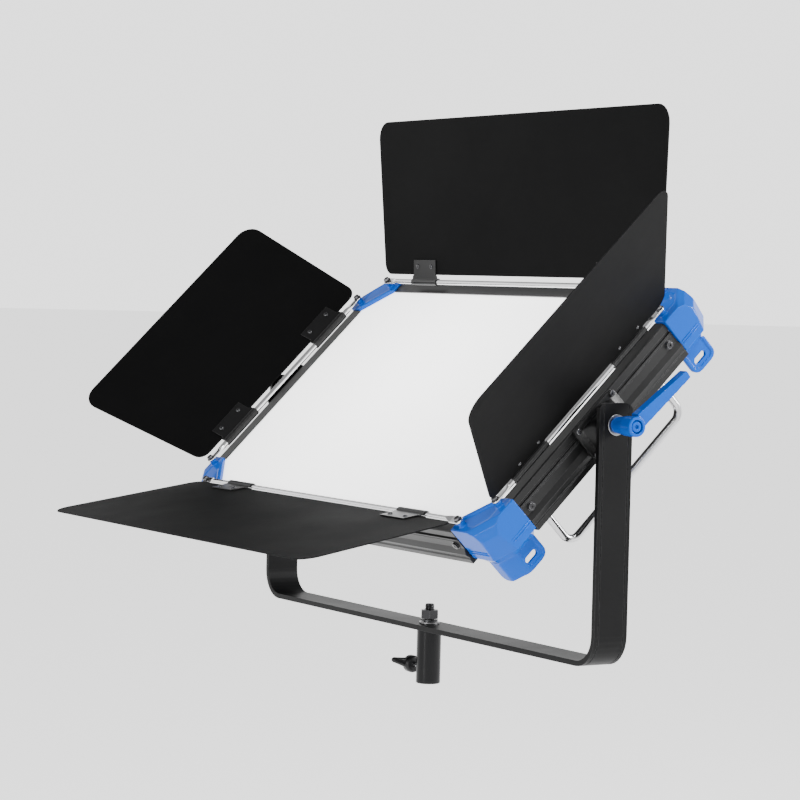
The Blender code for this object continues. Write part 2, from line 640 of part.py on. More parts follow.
# ---------------------------------------------------------------- tilt clamp
def make_clamp():
    outer = YOKE_WIDTH / 2 + GAP
    washer_end = outer + 0.0012
    holder = make_empty("lever_frame", turn(math.degrees(LEVER_ANGLE), "X"), HEAD)
    ring = [(0.0043, washer_end), (0.0098, washer_end), (0.0098, outer), (0.0043, outer), (0.0043, washer_end)]
    turned("lever_washer", ring, "zinc", holder, ALONG_X, 28)
    start = washer_end + GAP
    hub = [
        (0.0064, HUB_END), (0.0088, HUB_END), (0.0095, HUB_END - 0.0008), (0.0095, HUB_END - 0.0140),
        (0.0083, start + 0.0080), (0.0078, start), (0.0043, start), (0.0043, HUB_END - 0.0045),
        (0.0064, HUB_END - 0.0045), (0.0064, HUB_END),
    ]
    lever = turned("clamp_lever", hub, "blue_paint", holder, ALONG_X, 28)
    arm = rounded(
        [(-0.0070, 0.0), (0.0068, 0.0), (0.0054, LEVER_REACH), (-0.0026, LEVER_REACH)],
        [0, 0, 0.0012, 0.0012], 2,
    )
    arm = [(x, y if y > 0.001 else 0.0088) for x, y in arm]
    blade = plate_mesh("blade", arm, HUB_END - 0.0135, HUB_END - 0.0030)
    # the outline's y runs along v, and its x against n, once it stands on the hub
    stand = Matrix(((0, 0, 1, 0), (0, 1, 0, 0), (-1, 0, 0, 0), (0, 0, 0, 1)))
    join(lever, place("blade", blade, parent=holder, matrix=stand))
    screw = [
        (0.0, HUB_END - 0.0008), (0.0045, HUB_END - 0.0008), (0.0054, HUB_END - 0.0016),
        (0.0054, HUB_END - 0.0042), (0.0040, HUB_END - 0.0042), (0.0040, 0.3050), (0.0, 0.3050),
    ]
    head = turned("lever_screw", screw, "blue_paint", holder, ALONG_X, 20)
    key = cylinder_mesh("key", 0.0022, HUB_END - 0.0030, HUB_END + 0.01, 6)
    cut(head, place("key", key, parent=holder, matrix=ALONG_X))

    washer = [(0.0043, outer + 0.0015), (0.0100, outer + 0.0015), (0.0100, outer), (0.0043, outer), (0.0043, outer + 0.0015)]
    turned("pivot_washer", washer, "zinc", HEAD, ALONG_MINUS_X, 28)
    bolt_start = outer + 0.0015 + GAP
    bolt = [
        (0.0, bolt_start + 0.0060), (0.0062, bolt_start + 0.0060), (0.0075, bolt_start + 0.0045),
        (0.0075, bolt_start), (0.0040, bolt_start), (0.0040, 0.3050), (0.0, 0.3050),
    ]
    head = turned("pivot_bolt", bolt, "black_oxide", HEAD, ALONG_MINUS_X, 24)
    key = cylinder_mesh("bolt_key", 0.0030, bolt_start + 0.0030, bolt_start + 0.02, 6)
    cut(head, place("bolt_key", key, parent=HEAD, matrix=ALONG_MINUS_X))


# ---------------------------------------------------------------- barn doors
def rod_section(flat, width_scale, sides=12):
    """One ring of the rod, from round (flat 0) to pressed flat (flat 1), in the ring's own plane."""
    half_width = (ROD_RADIUS + (0.0042 - ROD_RADIUS) * flat) * width_scale
    half_height = ROD_RADIUS + (0.0011 - ROD_RADIUS) * flat
    squareness = 1.0 - 0.55 * flat
    ring = []
    for i in range(sides):
        a = 2 * math.pi * i / sides
        c, s = math.cos(a), math.sin(a)
        x = half_width * math.copysign(abs(c) ** (1.0 - 0.3 * flat), c)
        y = half_height * math.copysign(abs(s) ** squareness, s)
        ring.append((x, y))
    return ring


def rod_mesh(half):
    """A round rod along x whose ends are pressed flat around a screw at +half and -half."""
    tab = 0.0042
    stations = [(half - 0.0200, 0.0, 1.0), (half - 0.0165, 0.35, 1.0), (half - 0.0130, 0.85, 1.0),
                (half - 0.0110, 1.0, 1.0), (half, 1.0, 1.0)]
    stations += [(half + tab * math.sin(math.radians(a)), 1.0, math.cos(math.radians(a))) for a in (30, 55, 75)]
    rings = [(-x, flat, scale) for x, flat, scale in reversed(stations)] + stations
    bm = bmesh.new()
    loops = []
    for x, flat, scale in rings:
        loops.append([bm.verts.new((x, y, z)) for y, z in rod_section(flat, scale)])
    for first, second in zip(loops, loops[1:]):
        for i in range(len(first)):
            k = (i + 1) % len(first)
            bm.faces.new((first[i], first[k], second[k], second[i]))
    bm.faces.new(loops[0])
    bm.faces.new(loops[-1])
    bmesh.ops.recalc_face_normals(bm, faces=bm.faces)
    mesh = bpy.data.meshes.new("rod")
    bm.to_mesh(mesh)
    bm.free()
    return mesh


def clip_outline():
    """Section of a hinge clip: a plate on the leaf's lit face, rolled right round the rod."""
    inner, outer = ROD_RADIUS + GAP, ROD_RADIUS + 0.0014
    near, far = SHEET / 2 + GAP, SHEET / 2 + GAP + 0.0010
    ring_out = arc((0, 0), outer, math.degrees(math.asin(far / outer)), 352, 12)
    ring_in = arc((0, 0), inner, 352, math.degrees(math.asin(near / inner)), 12)
    return [(CLIP_REACH, far)] + ring_out + ring_in + [(CLIP_REACH, near)]


def make_rod(side, leaf, hinge):
    rod = place(f"door_rod_{side}", rod_mesh(leaf["rod"]), "chrome", hinge)
    for end, sign in (("a", -1), ("b", 1)):
        where = at(sign * leaf["rod"], 0, 0)
        cut(rod, place("rod_hole", cylinder_mesh("rod_hole", 0.0019, -0.01, 0.01, 12), parent=hinge, matrix=where))
        seat = 0.0011 + GAP
        profile = [(0.0, seat + 0.0030), (0.0026, seat + 0.0030), (0.0031, seat + 0.0025), (0.0031, seat),
                   (0.0016, seat), (0.0016, 0.0160 - ROD_N), (0.0, 0.0160 - ROD_N)]
        screw = turned(f"rod_screw_{side}_{end}", profile, "black_oxide", hinge, where, 16)
        key = cylinder_mesh("screw_key", 0.0015, seat + 0.0012, seat + 0.01, 6)
        cut(screw, place("screw_key", key, parent=hinge, matrix=where))


def make_leaf(side, leaf, swing):
    near, far, reach = leaf["near"], leaf["far"], leaf["reach"]
    corners = [(-near, LEAF_START), (near, LEAF_START), (far, reach), (-far, reach)]
    outline = rounded(corners, [0.013, 0.013, 0.018, 0.018], 6)
    place(f"door_leaf_{side}", plate_mesh("leaf", outline, -SHEET / 2, SHEET / 2), "black_powder_coat", swing)
    # the clip's outline is drawn in w and t, and extruded along s
    stand = Matrix(((0, 0, 1, 0), (1, 0, 0, 0), (0, 1, 0, 0), (0, 0, 0, 1)))
    half = CLIP_LENGTH / 2
    for end, sign in (("a", -1), ("b", 1)):
        where = at(sign * leaf["clip"], 0, 0)
        mesh = plate_mesh("clip", clip_outline(), -half, half)
        clip = place(f"door_clip_{side}_{end}", mesh, "black_powder_coat", swing, where @ stand)
        for edge in (-1, 1):
            notch = [(edge * (half + 0.001), 0.0058), (edge * (half - 0.0027), 0.0085),
                     (edge * (half - 0.0027), 0.0260), (edge * (half + 0.001), 0.0260)]
            notch_mesh = plate_mesh("notch", notch, -0.006, 0.006)
            cut(clip, place("notch", notch_mesh, parent=swing, matrix=where))


def make_barn_doors():
    for side, leaf in LEAVES.items():
        out = ROD_V if side in ("top", "bottom") else ROD_U
        hinge = make_empty(f"hinge_{side}", turn(leaf["turn"], "Z") @ at(0, out, ROD_N), HEAD)
        swing = make_empty(f"swing_{side}", turn(leaf["angle"], "X"), hinge)
        make_rod(side, leaf, hinge)
        make_leaf(side, leaf, swing)


# ---------------------------------------------------------------- the whole light
HEAD = make_empty("head_frame", at(0, 0, PIVOT_HEIGHT) @ Matrix.Rotation(math.pi / 2 - TILT, 4, "X"))

make_socket()
make_stud()
make_yoke()
make_thumb_screw()
make_rails()
for corner_v, row in ((1, "top"), (-1, "bottom")):
    for corner_u, column in ((-1, "left"), (1, "right")):
        make_corner(f"corner_{row}_{column}", corner_u, corner_v)
make_head_shell()
for side_name, side_sign in (("left", -1), ("right", 1)):
    make_bracket(side_name, side_sign)
    make_handle(side_name, side_sign)
make_controls()
make_clamp()
make_barn_doors()

for part in PARTS.objects:
    if part.type == "MESH":
        part.data.set_sharp_from_angle(angle=math.radians(35))
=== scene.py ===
"""Looks of the panel light with barn doors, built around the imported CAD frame."""

import json
import math

import bmesh
import bpy
from mathutils import Matrix, Vector

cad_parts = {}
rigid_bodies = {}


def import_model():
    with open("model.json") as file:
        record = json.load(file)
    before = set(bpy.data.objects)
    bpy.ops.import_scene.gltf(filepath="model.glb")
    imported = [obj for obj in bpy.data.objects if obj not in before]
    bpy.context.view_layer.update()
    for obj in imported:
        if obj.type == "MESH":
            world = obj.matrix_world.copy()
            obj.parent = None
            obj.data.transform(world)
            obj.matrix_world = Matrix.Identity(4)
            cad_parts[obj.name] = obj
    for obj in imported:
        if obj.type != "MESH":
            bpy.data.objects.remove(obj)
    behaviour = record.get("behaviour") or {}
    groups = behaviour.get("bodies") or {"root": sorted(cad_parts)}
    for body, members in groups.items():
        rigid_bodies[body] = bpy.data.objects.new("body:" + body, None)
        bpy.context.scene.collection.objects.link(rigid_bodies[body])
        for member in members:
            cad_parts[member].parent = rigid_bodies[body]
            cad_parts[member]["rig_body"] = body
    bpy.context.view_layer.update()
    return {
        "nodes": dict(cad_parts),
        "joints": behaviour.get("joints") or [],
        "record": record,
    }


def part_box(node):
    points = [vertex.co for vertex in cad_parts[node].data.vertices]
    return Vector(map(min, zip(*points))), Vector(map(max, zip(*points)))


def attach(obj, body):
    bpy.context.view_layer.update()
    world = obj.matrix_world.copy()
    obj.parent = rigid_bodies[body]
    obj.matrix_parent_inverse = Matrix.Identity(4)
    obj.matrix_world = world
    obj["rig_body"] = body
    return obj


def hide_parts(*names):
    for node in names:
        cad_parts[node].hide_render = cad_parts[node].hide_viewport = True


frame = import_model()
NODES = frame["nodes"]
JOINTS = {joint["name"]: joint for joint in frame["joints"]}
SLOT_OF = {part["node"]: part["material_slot"] for part in frame["record"]["subparts"]}
TAU = 2 * math.pi


# ---------------------------------------------------------------- places, all from the frame
def axes_matrix(x, y, z, origin):
    matrix = Matrix((x, y, z)).transposed().to_4x4()
    matrix.translation = origin
    return matrix


def joint_axis(name):
    return Vector(JOINTS[name]["axis"]).normalized()


def joint_place(name):
    return Vector(JOINTS[name]["pos_m"])


# the head's own axes: u along the tilt axis, v up the face, n out of the face
HEAD_U = joint_axis("head_tilt")
HEAD_V = joint_axis("leaf_left_hinge")
HEAD_N = HEAD_U.cross(HEAD_V)
HEAD = axes_matrix(HEAD_U, HEAD_V, HEAD_N, joint_place("head_tilt"))
TO_HEAD = HEAD.inverted()

# each corner casting, with the signs of its u and v
CORNERS = [(f"corner_{row}_{column}", su, sv)
           for row, sv in (("top", 1), ("bottom", -1))
           for column, su in (("left", -1), ("right", 1))]


def at(x, y, z):
    return Matrix.Translation((x, y, z))


def turn(degrees, axis):
    return Matrix.Rotation(math.radians(degrees), 4, axis)


def extent(node, matrix):
    """Lowest and highest corner of a node in a frame given by its inverse matrix."""
    points = [matrix @ vertex.co for vertex in NODES[node].data.vertices]
    low = Vector([min(p[i] for p in points) for i in range(3)])
    high = Vector([max(p[i] for p in points) for i in range(3)])
    return low, high


def corner_reach(node):
    """Where a corner casting starts and where it ends, as distances along u and v."""
    low, high = extent(node, TO_HEAD)
    near = [min(abs(low[i]), abs(high[i])) for i in range(2)]
    far = [max(abs(low[i]), abs(high[i])) for i in range(2)]
    return near, far


def behind(centre, depth):
    """A place on the head's rear at a point's u and v, with z pointing to the rear."""
    return HEAD @ at(centre.x, centre.y, depth) @ turn(180, "X")


def leaf_axes(side):
    """s along the hinge rod, w away from it in the leaf, t out of the leaf's lit face."""
    origin = joint_place(f"leaf_{side}_hinge")
    along = joint_axis(f"leaf_{side}_hinge")
    vertices = NODES[f"door_leaf_{side}"].data.vertices
    middle = sum((vertex.co for vertex in vertices), Vector()) / len(vertices) - origin
    away = (middle - along * middle.dot(along)).normalized()
    return axes_matrix(along, away, along.cross(away), origin)


# ---------------------------------------------------------------- materials
# the parts of a noise's values that are stretched over a whole range
BROAD_RANGE = (0.3, 0.7)
FINE_RANGE = (0.35, 0.65)
SPECK_RANGE = (0.42, 0.62)
WEAR_AND_HIGHLIGHT_RANGE = (0.38, 0.62)
DUST_RANGE = (0.5, 0.75)
DUST_SCALE = 34.0
DUST_COLOR = (0.30, 0.29, 0.28)
# scale and strength of the patches of lighter edge colour, which is partly wear and partly a
# painted highlight
WEAR_AND_HIGHLIGHT_SCALE = 420.0
WEAR_AND_HIGHLIGHT_AMOUNT = (0.25, 0.8)
COAT_ROUGHNESS = 0.05
FINE_ROUGHNESS = 0.02
EDGE_SHARPNESS = 0.04


def new_material(name):
    material = bpy.data.materials.new(name)
    material.use_nodes = True
    tree = material.node_tree
    return material, tree, tree.nodes["Principled BSDF"]


def add(tree, kind, **values):
    """A node with its properties and input sockets set by name."""
    node = tree.nodes.new(kind)
    for key, value in values.items():
        if hasattr(node, key):
            setattr(node, key, value)
        else:
            node.inputs[key.replace("_", " ")].default_value = value
    return node


def noise(tree, coords, scale, detail, roughness, stretch=None):
    """A noise texture's value over the object, stretched along its axes if asked."""
    source = coords
    if stretch:
        mapping = add(tree, "ShaderNodeMapping", Scale=stretch)
        tree.links.new(coords, mapping.inputs["Vector"])
        source = mapping.outputs["Vector"]
    texture = add(tree, "ShaderNodeTexNoise", Scale=scale, Detail=detail, Roughness=roughness)
    tree.links.new(source, texture.inputs["Vector"])
    return texture.outputs["Fac"]


def remap(tree, value, low, high, to_low, to_high):
    node = add(tree, "ShaderNodeMapRange",
               From_Min=low, From_Max=high, To_Min=to_low, To_Max=to_high)
    tree.links.new(value, node.inputs["Value"])
    return node.outputs["Result"]


def math_node(tree, operation, first, second):
    node = add(tree, "ShaderNodeMath", operation=operation)
    tree.links.new(first, node.inputs[0])
    tree.links.new(second, node.inputs[1])
    return node.outputs["Value"]


def mix_color(tree, factor, first, second):
    """Two colours mixed; each is a tuple or another node's output."""
    node = add(tree, "ShaderNodeMix", data_type="RGBA")
    tree.links.new(factor, node.inputs["Factor"])
    colors = [socket for socket in node.inputs if socket.type == "RGBA"]
    for socket, value in zip(colors, (first, second)):
        if isinstance(value, tuple):
            socket.default_value = (*value, 1.0)
        else:
            tree.links.new(value, socket)
    return [socket for socket in node.outputs if socket.type == "RGBA"][0]


def edge_mask(tree, radius):
    """One on outside edges, fading to nothing on flat surfaces."""
    bevel = add(tree, "ShaderNodeBevel", samples=4)
    bevel.inputs["Radius"].default_value = radius
    geometry = add(tree, "ShaderNodeNewGeometry")
    dot = add(tree, "ShaderNodeVectorMath", operation="DOT_PRODUCT")
    tree.links.new(bevel.outputs["Normal"], dot.inputs[0])
    tree.links.new(geometry.outputs["True Normal"], dot.inputs[1])
    return remap(tree, dot.outputs["Value"], 1.0 - EDGE_SHARPNESS, 1.0, 1.0, 0.0)


def add_bump(tree, shader, height, strength, distance):
    bump = add(tree, "ShaderNodeBump", Strength=strength, Distance=distance)
    tree.links.new(height, bump.inputs["Height"])
    tree.links.new(bump.outputs["Normal"], shader.inputs["Normal"])


def coated(name, color, rough, grain=900.0, grain_height=0.00003, spread=0.12, rough_spread=0.06,
           metallic=0.0, specular=0.5, coat=0.0, edge=None, edge_radius=0.0008, stretch=None,
           dust=0.0, smudge=9.0, specks=0.3):
    """A painted, anodised, plated or moulded surface with grain, uneven tone and lighter edges,
    partly wear and partly painted highlight.

    grain and smudge are the scales of the fine and the broad noise, spread and rough_spread
    how far tone and roughness vary, and edge the colour painted along the edges, partly as wear
    and partly as a painted highlight.
    """
    material, tree, shader = new_material(name)
    coords = add(tree, "ShaderNodeTexCoord").outputs["Object"]
    shader.inputs["Metallic"].default_value = metallic
    shader.inputs["Specular IOR Level"].default_value = specular
    shader.inputs["Coat Weight"].default_value = coat
    shader.inputs["Coat Roughness"].default_value = COAT_ROUGHNESS

    broad = noise(tree, coords, smudge, 5.0, 0.6)
    fine = noise(tree, coords, grain, 3.0, 0.6, stretch)
    tone = remap(tree, broad, *BROAD_RANGE, 0.0, 1.0)
    dark = tuple(c * (1.0 - spread) for c in color)
    light = tuple(min(1.0, c * (1.0 + spread)) for c in color)
    base = mix_color(tree, tone, dark, light)
    speck = remap(tree, fine, *SPECK_RANGE, 0.0, specks)
    base = mix_color(tree, speck, base, tuple(min(1.0, c * 1.5 + 0.002) for c in color))
    if dust:
        settled = remap(tree, noise(tree, coords, DUST_SCALE, 8.0, 0.7), *DUST_RANGE, 0.0, dust)
        base = mix_color(tree, settled, base, DUST_COLOR)
    # the edge colour is painted along the edges in patches: partly wear, partly a painted
    # highlight of light catching the edges
    if edge:
        edge_wear_and_highlight = edge_mask(tree, edge_radius)
        patchy = remap(tree, noise(tree, coords, WEAR_AND_HIGHLIGHT_SCALE, 4.0, 0.6), *WEAR_AND_HIGHLIGHT_RANGE, *WEAR_AND_HIGHLIGHT_AMOUNT)
        base = mix_color(tree, math_node(tree, "MULTIPLY", edge_wear_and_highlight, patchy), base, edge)
    tree.links.new(base, shader.inputs["Base Color"])

    uneven = math_node(
        tree, "ADD", remap(tree, broad, *BROAD_RANGE, rough - rough_spread, rough + rough_spread),
        remap(tree, fine, *FINE_RANGE, -FINE_ROUGHNESS, FINE_ROUGHNESS))
    tree.links.new(uneven, shader.inputs["Roughness"])
    add_bump(tree, shader, fine, 0.6, grain_height)
    return material


def opal_material():
    """A translucent white sheet, lit from behind, a little less towards its edges."""
    material, tree, shader = new_material("opal")
    coords = add(tree, "ShaderNodeTexCoord").outputs["Object"]
    broad = noise(tree, coords, 4.0, 2.0, 0.5)
    fine = noise(tree, coords, 700.0, 2.0, 0.5)
    even = remap(tree, broad, *BROAD_RANGE, 0.0, 1.0)
    base = mix_color(tree, even, (0.76, 0.765, 0.77), (0.80, 0.80, 0.80))
    tree.links.new(base, shader.inputs["Base Color"])
    shader.inputs["Specular IOR Level"].default_value = 0.35

    # brightest a little above and left of the middle
    low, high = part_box("diffuser")
    brightest = (low + high) / 2 + HEAD_V * 0.05 - HEAD_U * 0.06
    distance = add(tree, "ShaderNodeVectorMath", operation="DISTANCE")
    tree.links.new(coords, distance.inputs[0])
    distance.inputs[1].default_value = brightest
    falloff = remap(tree, distance.outputs["Value"], 0.05, 0.36, 0.0, 1.0)
    glow = mix_color(tree, falloff, (1.0, 0.998, 0.99), (0.55, 0.55, 0.55))
    tree.links.new(glow, shader.inputs["Emission Color"])
    shader.inputs["Emission Strength"].default_value = 3.0
    tree.links.new(remap(tree, fine, *BROAD_RANGE, 0.42, 0.55), shader.inputs["Roughness"])
    add_bump(tree, shader, fine, 0.4, 0.00002)
    return material


# the blue's edge colour is a lighter blue, a painted highlight along the castings' and lever's
# edges
BLUE_PAINT = dict(color=(0.0001, 0.070, 0.400), rough=0.16, grain=700.0, grain_height=0.00001,
                  spread=0.03, rough_spread=0.02, specular=0.14, edge=(0.002, 0.10, 0.55),
                  specks=0.05)
FINISHES = {
    "leaf_coat": dict(
        color=(0.0022, 0.0022, 0.0023), rough=0.64, grain=1500.0, rough_spread=0.04,
        specular=0.045, edge=(0.03, 0.03, 0.0305), edge_radius=0.0005, dust=0.002, specks=0.12),
    "clip_coat": dict(
        color=(0.0035, 0.0035, 0.0037), rough=0.34, grain=1300.0, spread=0.15, rough_spread=0.05,
        specular=0.22, edge=(0.06, 0.06, 0.06), edge_radius=0.0005),
    "rod_chrome": dict(
        color=(0.68, 0.68, 0.69), rough=0.12, grain=700.0, grain_height=0.00001, spread=0.03,
        rough_spread=0.03, metallic=1.0, specks=0.1),
    "handle_chrome": dict(
        color=(0.50, 0.50, 0.51), rough=0.18, grain=700.0, grain_height=0.00001, spread=0.04,
        rough_spread=0.04, metallic=1.0, specks=0.1),
    "screw_oxide": dict(
        color=(0.030, 0.030, 0.032), rough=0.22, grain=1400.0, grain_height=0.00002, spread=0.2,
        metallic=0.75, specular=0.4, edge=(0.24, 0.24, 0.25), edge_radius=0.0004),
    "zinc": dict(
        color=(0.22, 0.22, 0.225), rough=0.30, grain_height=0.00002, spread=0.10,
        rough_spread=0.08, metallic=1.0, edge=(0.7, 0.7, 0.7), edge_radius=0.0004),
    "casting_blue": dict(BLUE_PAINT, edge_radius=0.0009),
    "lever_blue": BLUE_PAINT,
    "rail_anodised": dict(
        color=(0.0060, 0.0060, 0.0062), rough=0.34, grain=1100.0, spread=0.10, rough_spread=0.04,
        metallic=0.15, specular=0.28, edge=(0.09, 0.09, 0.092), edge_radius=0.0005),
    "yoke_coat": dict(
        color=(0.0030, 0.0030, 0.0032), rough=0.45, grain=1400.0, grain_height=0.00004,
        rough_spread=0.04, specular=0.10, edge=(0.045, 0.045, 0.046), edge_radius=0.0006),
    "bracket_coat": dict(
        color=(0.0030, 0.0030, 0.0032), rough=0.32, grain=1200.0, spread=0.15, rough_spread=0.05,
        specular=0.2, edge=(0.05, 0.05, 0.05), edge_radius=0.0006),
    "cover_coat": dict(
        color=(0.0050, 0.0050, 0.0052), rough=0.46, grain=1400.0, grain_height=0.00005,
        rough_spread=0.05, specular=0.2, edge=(0.05, 0.05, 0.05), edge_radius=0.0006, dust=0.004),
    "socket_anodised": dict(
        color=(0.0030, 0.0030, 0.0034), rough=0.24, grain=1600.0, grain_height=0.00001,
        rough_spread=0.04, metallic=0.1, specular=0.18, edge=(0.15, 0.15, 0.15),
        edge_radius=0.0006, stretch=(1.0, 1.0, 6.0)),
    "board": dict(
        color=(0.72, 0.72, 0.70), rough=0.45, grain=800.0, grain_height=0.00002, spread=0.05,
        rough_spread=0.05),
    "black_plastic": dict(
        color=(0.0045, 0.0045, 0.0050), rough=0.36, grain=1000.0, grain_height=0.00005,
        spread=0.15, specular=0.25, edge=(0.04, 0.04, 0.04), edge_radius=0.0006),
    "display": dict(
        color=(0.004, 0.005, 0.007), rough=0.09, grain=60.0, grain_height=0.000005, spread=0.2,
        rough_spread=0.03, coat=0.4, smudge=30.0),
    "steel_shank": dict(
        color=(0.50, 0.50, 0.51), rough=0.22, grain_height=0.00002, spread=0.08, metallic=1.0),
}
MATERIALS = {name: coated(name, **finish) for name, finish in FINISHES.items()}
MATERIALS["opal"] = opal_material()


# ---------------------------------------------------------------- mesh builders
MERGE = 0.0000005  # vertices nearer than this are one


def mesh_from(bm, name):
    """A mesh from a finished bmesh, with its faces turned outwards."""
    bmesh.ops.remove_doubles(bm, verts=bm.verts, dist=MERGE)
    bmesh.ops.recalc_face_normals(bm, faces=bm.faces)
    mesh = bpy.data.meshes.new(name)
    bm.to_mesh(mesh)
    bm.free()
    return mesh


def value_at(value, angle):
    return value(angle) if callable(value) else value


def skin(bm, first, second):
    """A band of faces between two loops of vertices."""
    count = len(first)
    for i in range(count):
        k = (i + 1) % count
        bm.faces.new((first[i], first[k], second[k], second[i]))


def polar(bm, rings, steps=48, matrix=Matrix(), closed=False):
    """A skin through rings of (radius, height), each a number or a function of the angle."""
    angles = [TAU * i / steps for i in range(steps)]
    loops = []
    for radius, height in rings:
        loops.append([
            bm.verts.new(matrix @ Vector((
                value_at(radius, a) * math.cos(a), value_at(radius, a) * math.sin(a),
                value_at(height, a))))
            for a in angles])
    for first, second in zip(loops, loops[1:]):
        skin(bm, first, second)
    if closed:
        skin(bm, loops[-1], loops[0])


def loft(bm, sections, matrix=Matrix(), cap=True):
    """A skin through sections, each a list of 3-D points."""
    loops = [[bm.verts.new(matrix @ Vector(p)) for p in section] for section in sections]
    for first, second in zip(loops, loops[1:]):
        skin(bm, first, second)
    if cap:
        bm.faces.new(loops[0])
        bm.faces.new(loops[-1])


def hexagon(across_flats):
    """The radius of a hexagon at an angle."""
    def radius(angle):
        folded = (angle + math.radians(30)) % math.radians(60) - math.radians(30)
        return across_flats / 2 / math.cos(folded)
    return radius


def knurl(radius, depth, count):
    """The radius of a grip with this many round-topped ridges."""
    return lambda angle: radius - depth * (0.5 + 0.5 * math.cos(angle * count)) ** 2


def superellipse(half_x, half_y, power, angle):
    c, s = math.cos(angle), math.sin(angle)
    x = half_x * math.copysign(abs(c) ** (2 / power), c)
    y = half_y * math.copysign(abs(s) ** (2 / power), s)
    return x, y


def superellipse_ring(half_x, half_y, power, count):
    return [superellipse(half_x, half_y, power, TAU * k / count) for k in range(count)]


# radius and height of each kind of screw's head, then the width and depth of its hexagon
SCREW_HEADS = {
    "rod": (0.0031, 0.0026, 0.0028, 0.0016),
    "rail": (0.0036, 0.0022, 0.0022, 0.0012),
    "bracket": (0.0030, 0.0024, 0.0022, 0.0012),
    "cover": (0.0030, 0.0018, 0.0018, 0.0010),
    "box": (0.0028, 0.0018, 0.0018, 0.0010),
}


def socket_head(bm, matrix, radius, height, across, depth, grip=0):
    """A cap screw's head, its seat at z = 0, with a hexagon socket in its top."""
    side = knurl(radius, radius * 0.05, grip) if grip else radius
    rings = [
        (0.0, 0.0), (radius * 0.96, 0.0), (side, height * 0.06), (side, height * 0.80),
        (radius * 0.90, height * 0.96), (radius * 0.80, height),
        (hexagon(across * 1.08), height), (hexagon(across), height - depth * 0.12),
        (hexagon(across), height - depth), (0.0, height - depth * 1.1),
    ]
    polar(bm, rings, 48, matrix)


def dome(bm, matrix, radius, height, dimple=0.0):
    """A rivet's head, its seat at z = 0."""
    rings = [(0.0, 0.0), (radius, 0.0), (radius, height * 0.15)]
    for degrees in (20, 40, 60, 78):
        a = math.radians(degrees)
        rings.append((radius * math.cos(a), height * (0.15 + 0.85 * math.sin(a))))
    rings.append((0.0, height - dimple))
    polar(bm, rings, 24, matrix)


def washer(bm, bore, radius, low, high, matrix=Matrix()):
    """A ring with its outer edges broken."""
    edge = 0.0003
    polar(bm, [(bore, low), (radius - edge, low), (radius, low + edge), (radius, high - edge),
               (radius - edge, high), (bore, high)], 64, matrix, closed=True)


# ---------------------------------------------------------------- pieces
SMOOTH_ANGLE = 35.0  # edges sharper than this stay sharp
BEVELLED_SMOOTH_ANGLE = 65.0
BEVEL_SEGMENTS = 2
BEVEL_ANGLE = 28.0  # edges flatter than this aren't rounded
FACE_WEIGHT = 90
CAD_MERGE = 0.000004
FLAT_ANGLE = 0.6  # faces of a CAD node within this angle become one

CASTING_VOXEL = 0.0006
CASTING_ROUNDS = 4
MOULDED = {node for node, _, _ in CORNERS} | {"clamp_lever"}
EDGE_OF_SLOT = {
    "leaf_coat": 0.00025, "clip_coat": 0.0002, "lever_blue": 0.0008, "rail_anodised": 0.00025,
    "yoke_coat": 0.0006, "bracket_coat": 0.0006, "cover_coat": 0.0006, "black_plastic": 0.0005,
    "display": 0.0003, "opal": 0.0,
}
BUILT_BY_HAND = {
    "stand_socket", "socket_stud", "stud_nut", "flat_washer", "spring_washer",
    "socket_thumb_screw", "rear_handle_left", "rear_handle_right", "dimmer_dial", "colour_dial",
    "pivot_bracket_left", "pivot_bracket_right", "pivot_bolt", "pivot_washer", "lever_washer",
}
BUILT_BY_HAND |= {node for node in NODES if node.startswith(("door_rod", "rod_screw"))}


def piece(name, mesh, body, slot, material=None, stands_for=(), smooth=SMOOTH_ANGLE, bevel=0.0):
    """Links a mesh in the row frame as a piece that rides on a body."""
    obj = bpy.data.objects.new(name, mesh)
    bpy.context.scene.collection.objects.link(obj)
    mesh.materials.clear()
    mesh.materials.append(MATERIALS[material or slot])
    mesh.shade_smooth()
    mesh.set_sharp_from_angle(angle=math.radians(BEVELLED_SMOOTH_ANGLE if bevel else smooth))
    if bevel:
        modifier = obj.modifiers.new("edges", "BEVEL")
        modifier.width = bevel
        modifier.segments = BEVEL_SEGMENTS
        modifier.limit_method = "ANGLE"
        modifier.angle_limit = math.radians(BEVEL_ANGLE)
        modifier.use_clamp_overlap = True
        weighted = obj.modifiers.new("flat_faces", "WEIGHTED_NORMAL")
        weighted.keep_sharp = True
        weighted.weight = FACE_WEIGHT
    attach(obj, body)
    if stands_for:
        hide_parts(*stands_for)
    return obj


def built(bm, name, body, slot, material=None, stands_for=(), smooth=SMOOTH_ANGLE):
    """A piece from a finished bmesh."""
    return piece(name, mesh_from(bm, name), body, slot, material, stands_for, smooth)


def voxel_remesh(obj, name, voxel):
    remesh = obj.modifiers.new(name, "REMESH")
    remesh.mode = "VOXEL"
    remesh.voxel_size = voxel
    return remesh


def soften(obj, name, rounds):
    smooth = obj.modifiers.new(name, "SMOOTH")
    smooth.factor = 0.5
    smooth.iterations = rounds


def refined(node):
    """A CAD node's own shape with clean faces and rounded edges, standing for the node."""
    source, slot = NODES[node], SLOT_OF[node]
    bm = bmesh.new()
    bm.from_mesh(source.data)
    bmesh.ops.remove_doubles(bm, verts=bm.verts, dist=CAD_MERGE)
    bmesh.ops.dissolve_limit(bm, angle_limit=math.radians(FLAT_ANGLE), verts=bm.verts,
                             edges=bm.edges)
    mesh = bpy.data.meshes.new(f"{node}_finish")
    bm.to_mesh(mesh)
    bm.free()
    piece(f"{node}_finish", mesh, source["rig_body"], slot, stands_for=(node,),
          bevel=EDGE_OF_SLOT[slot])


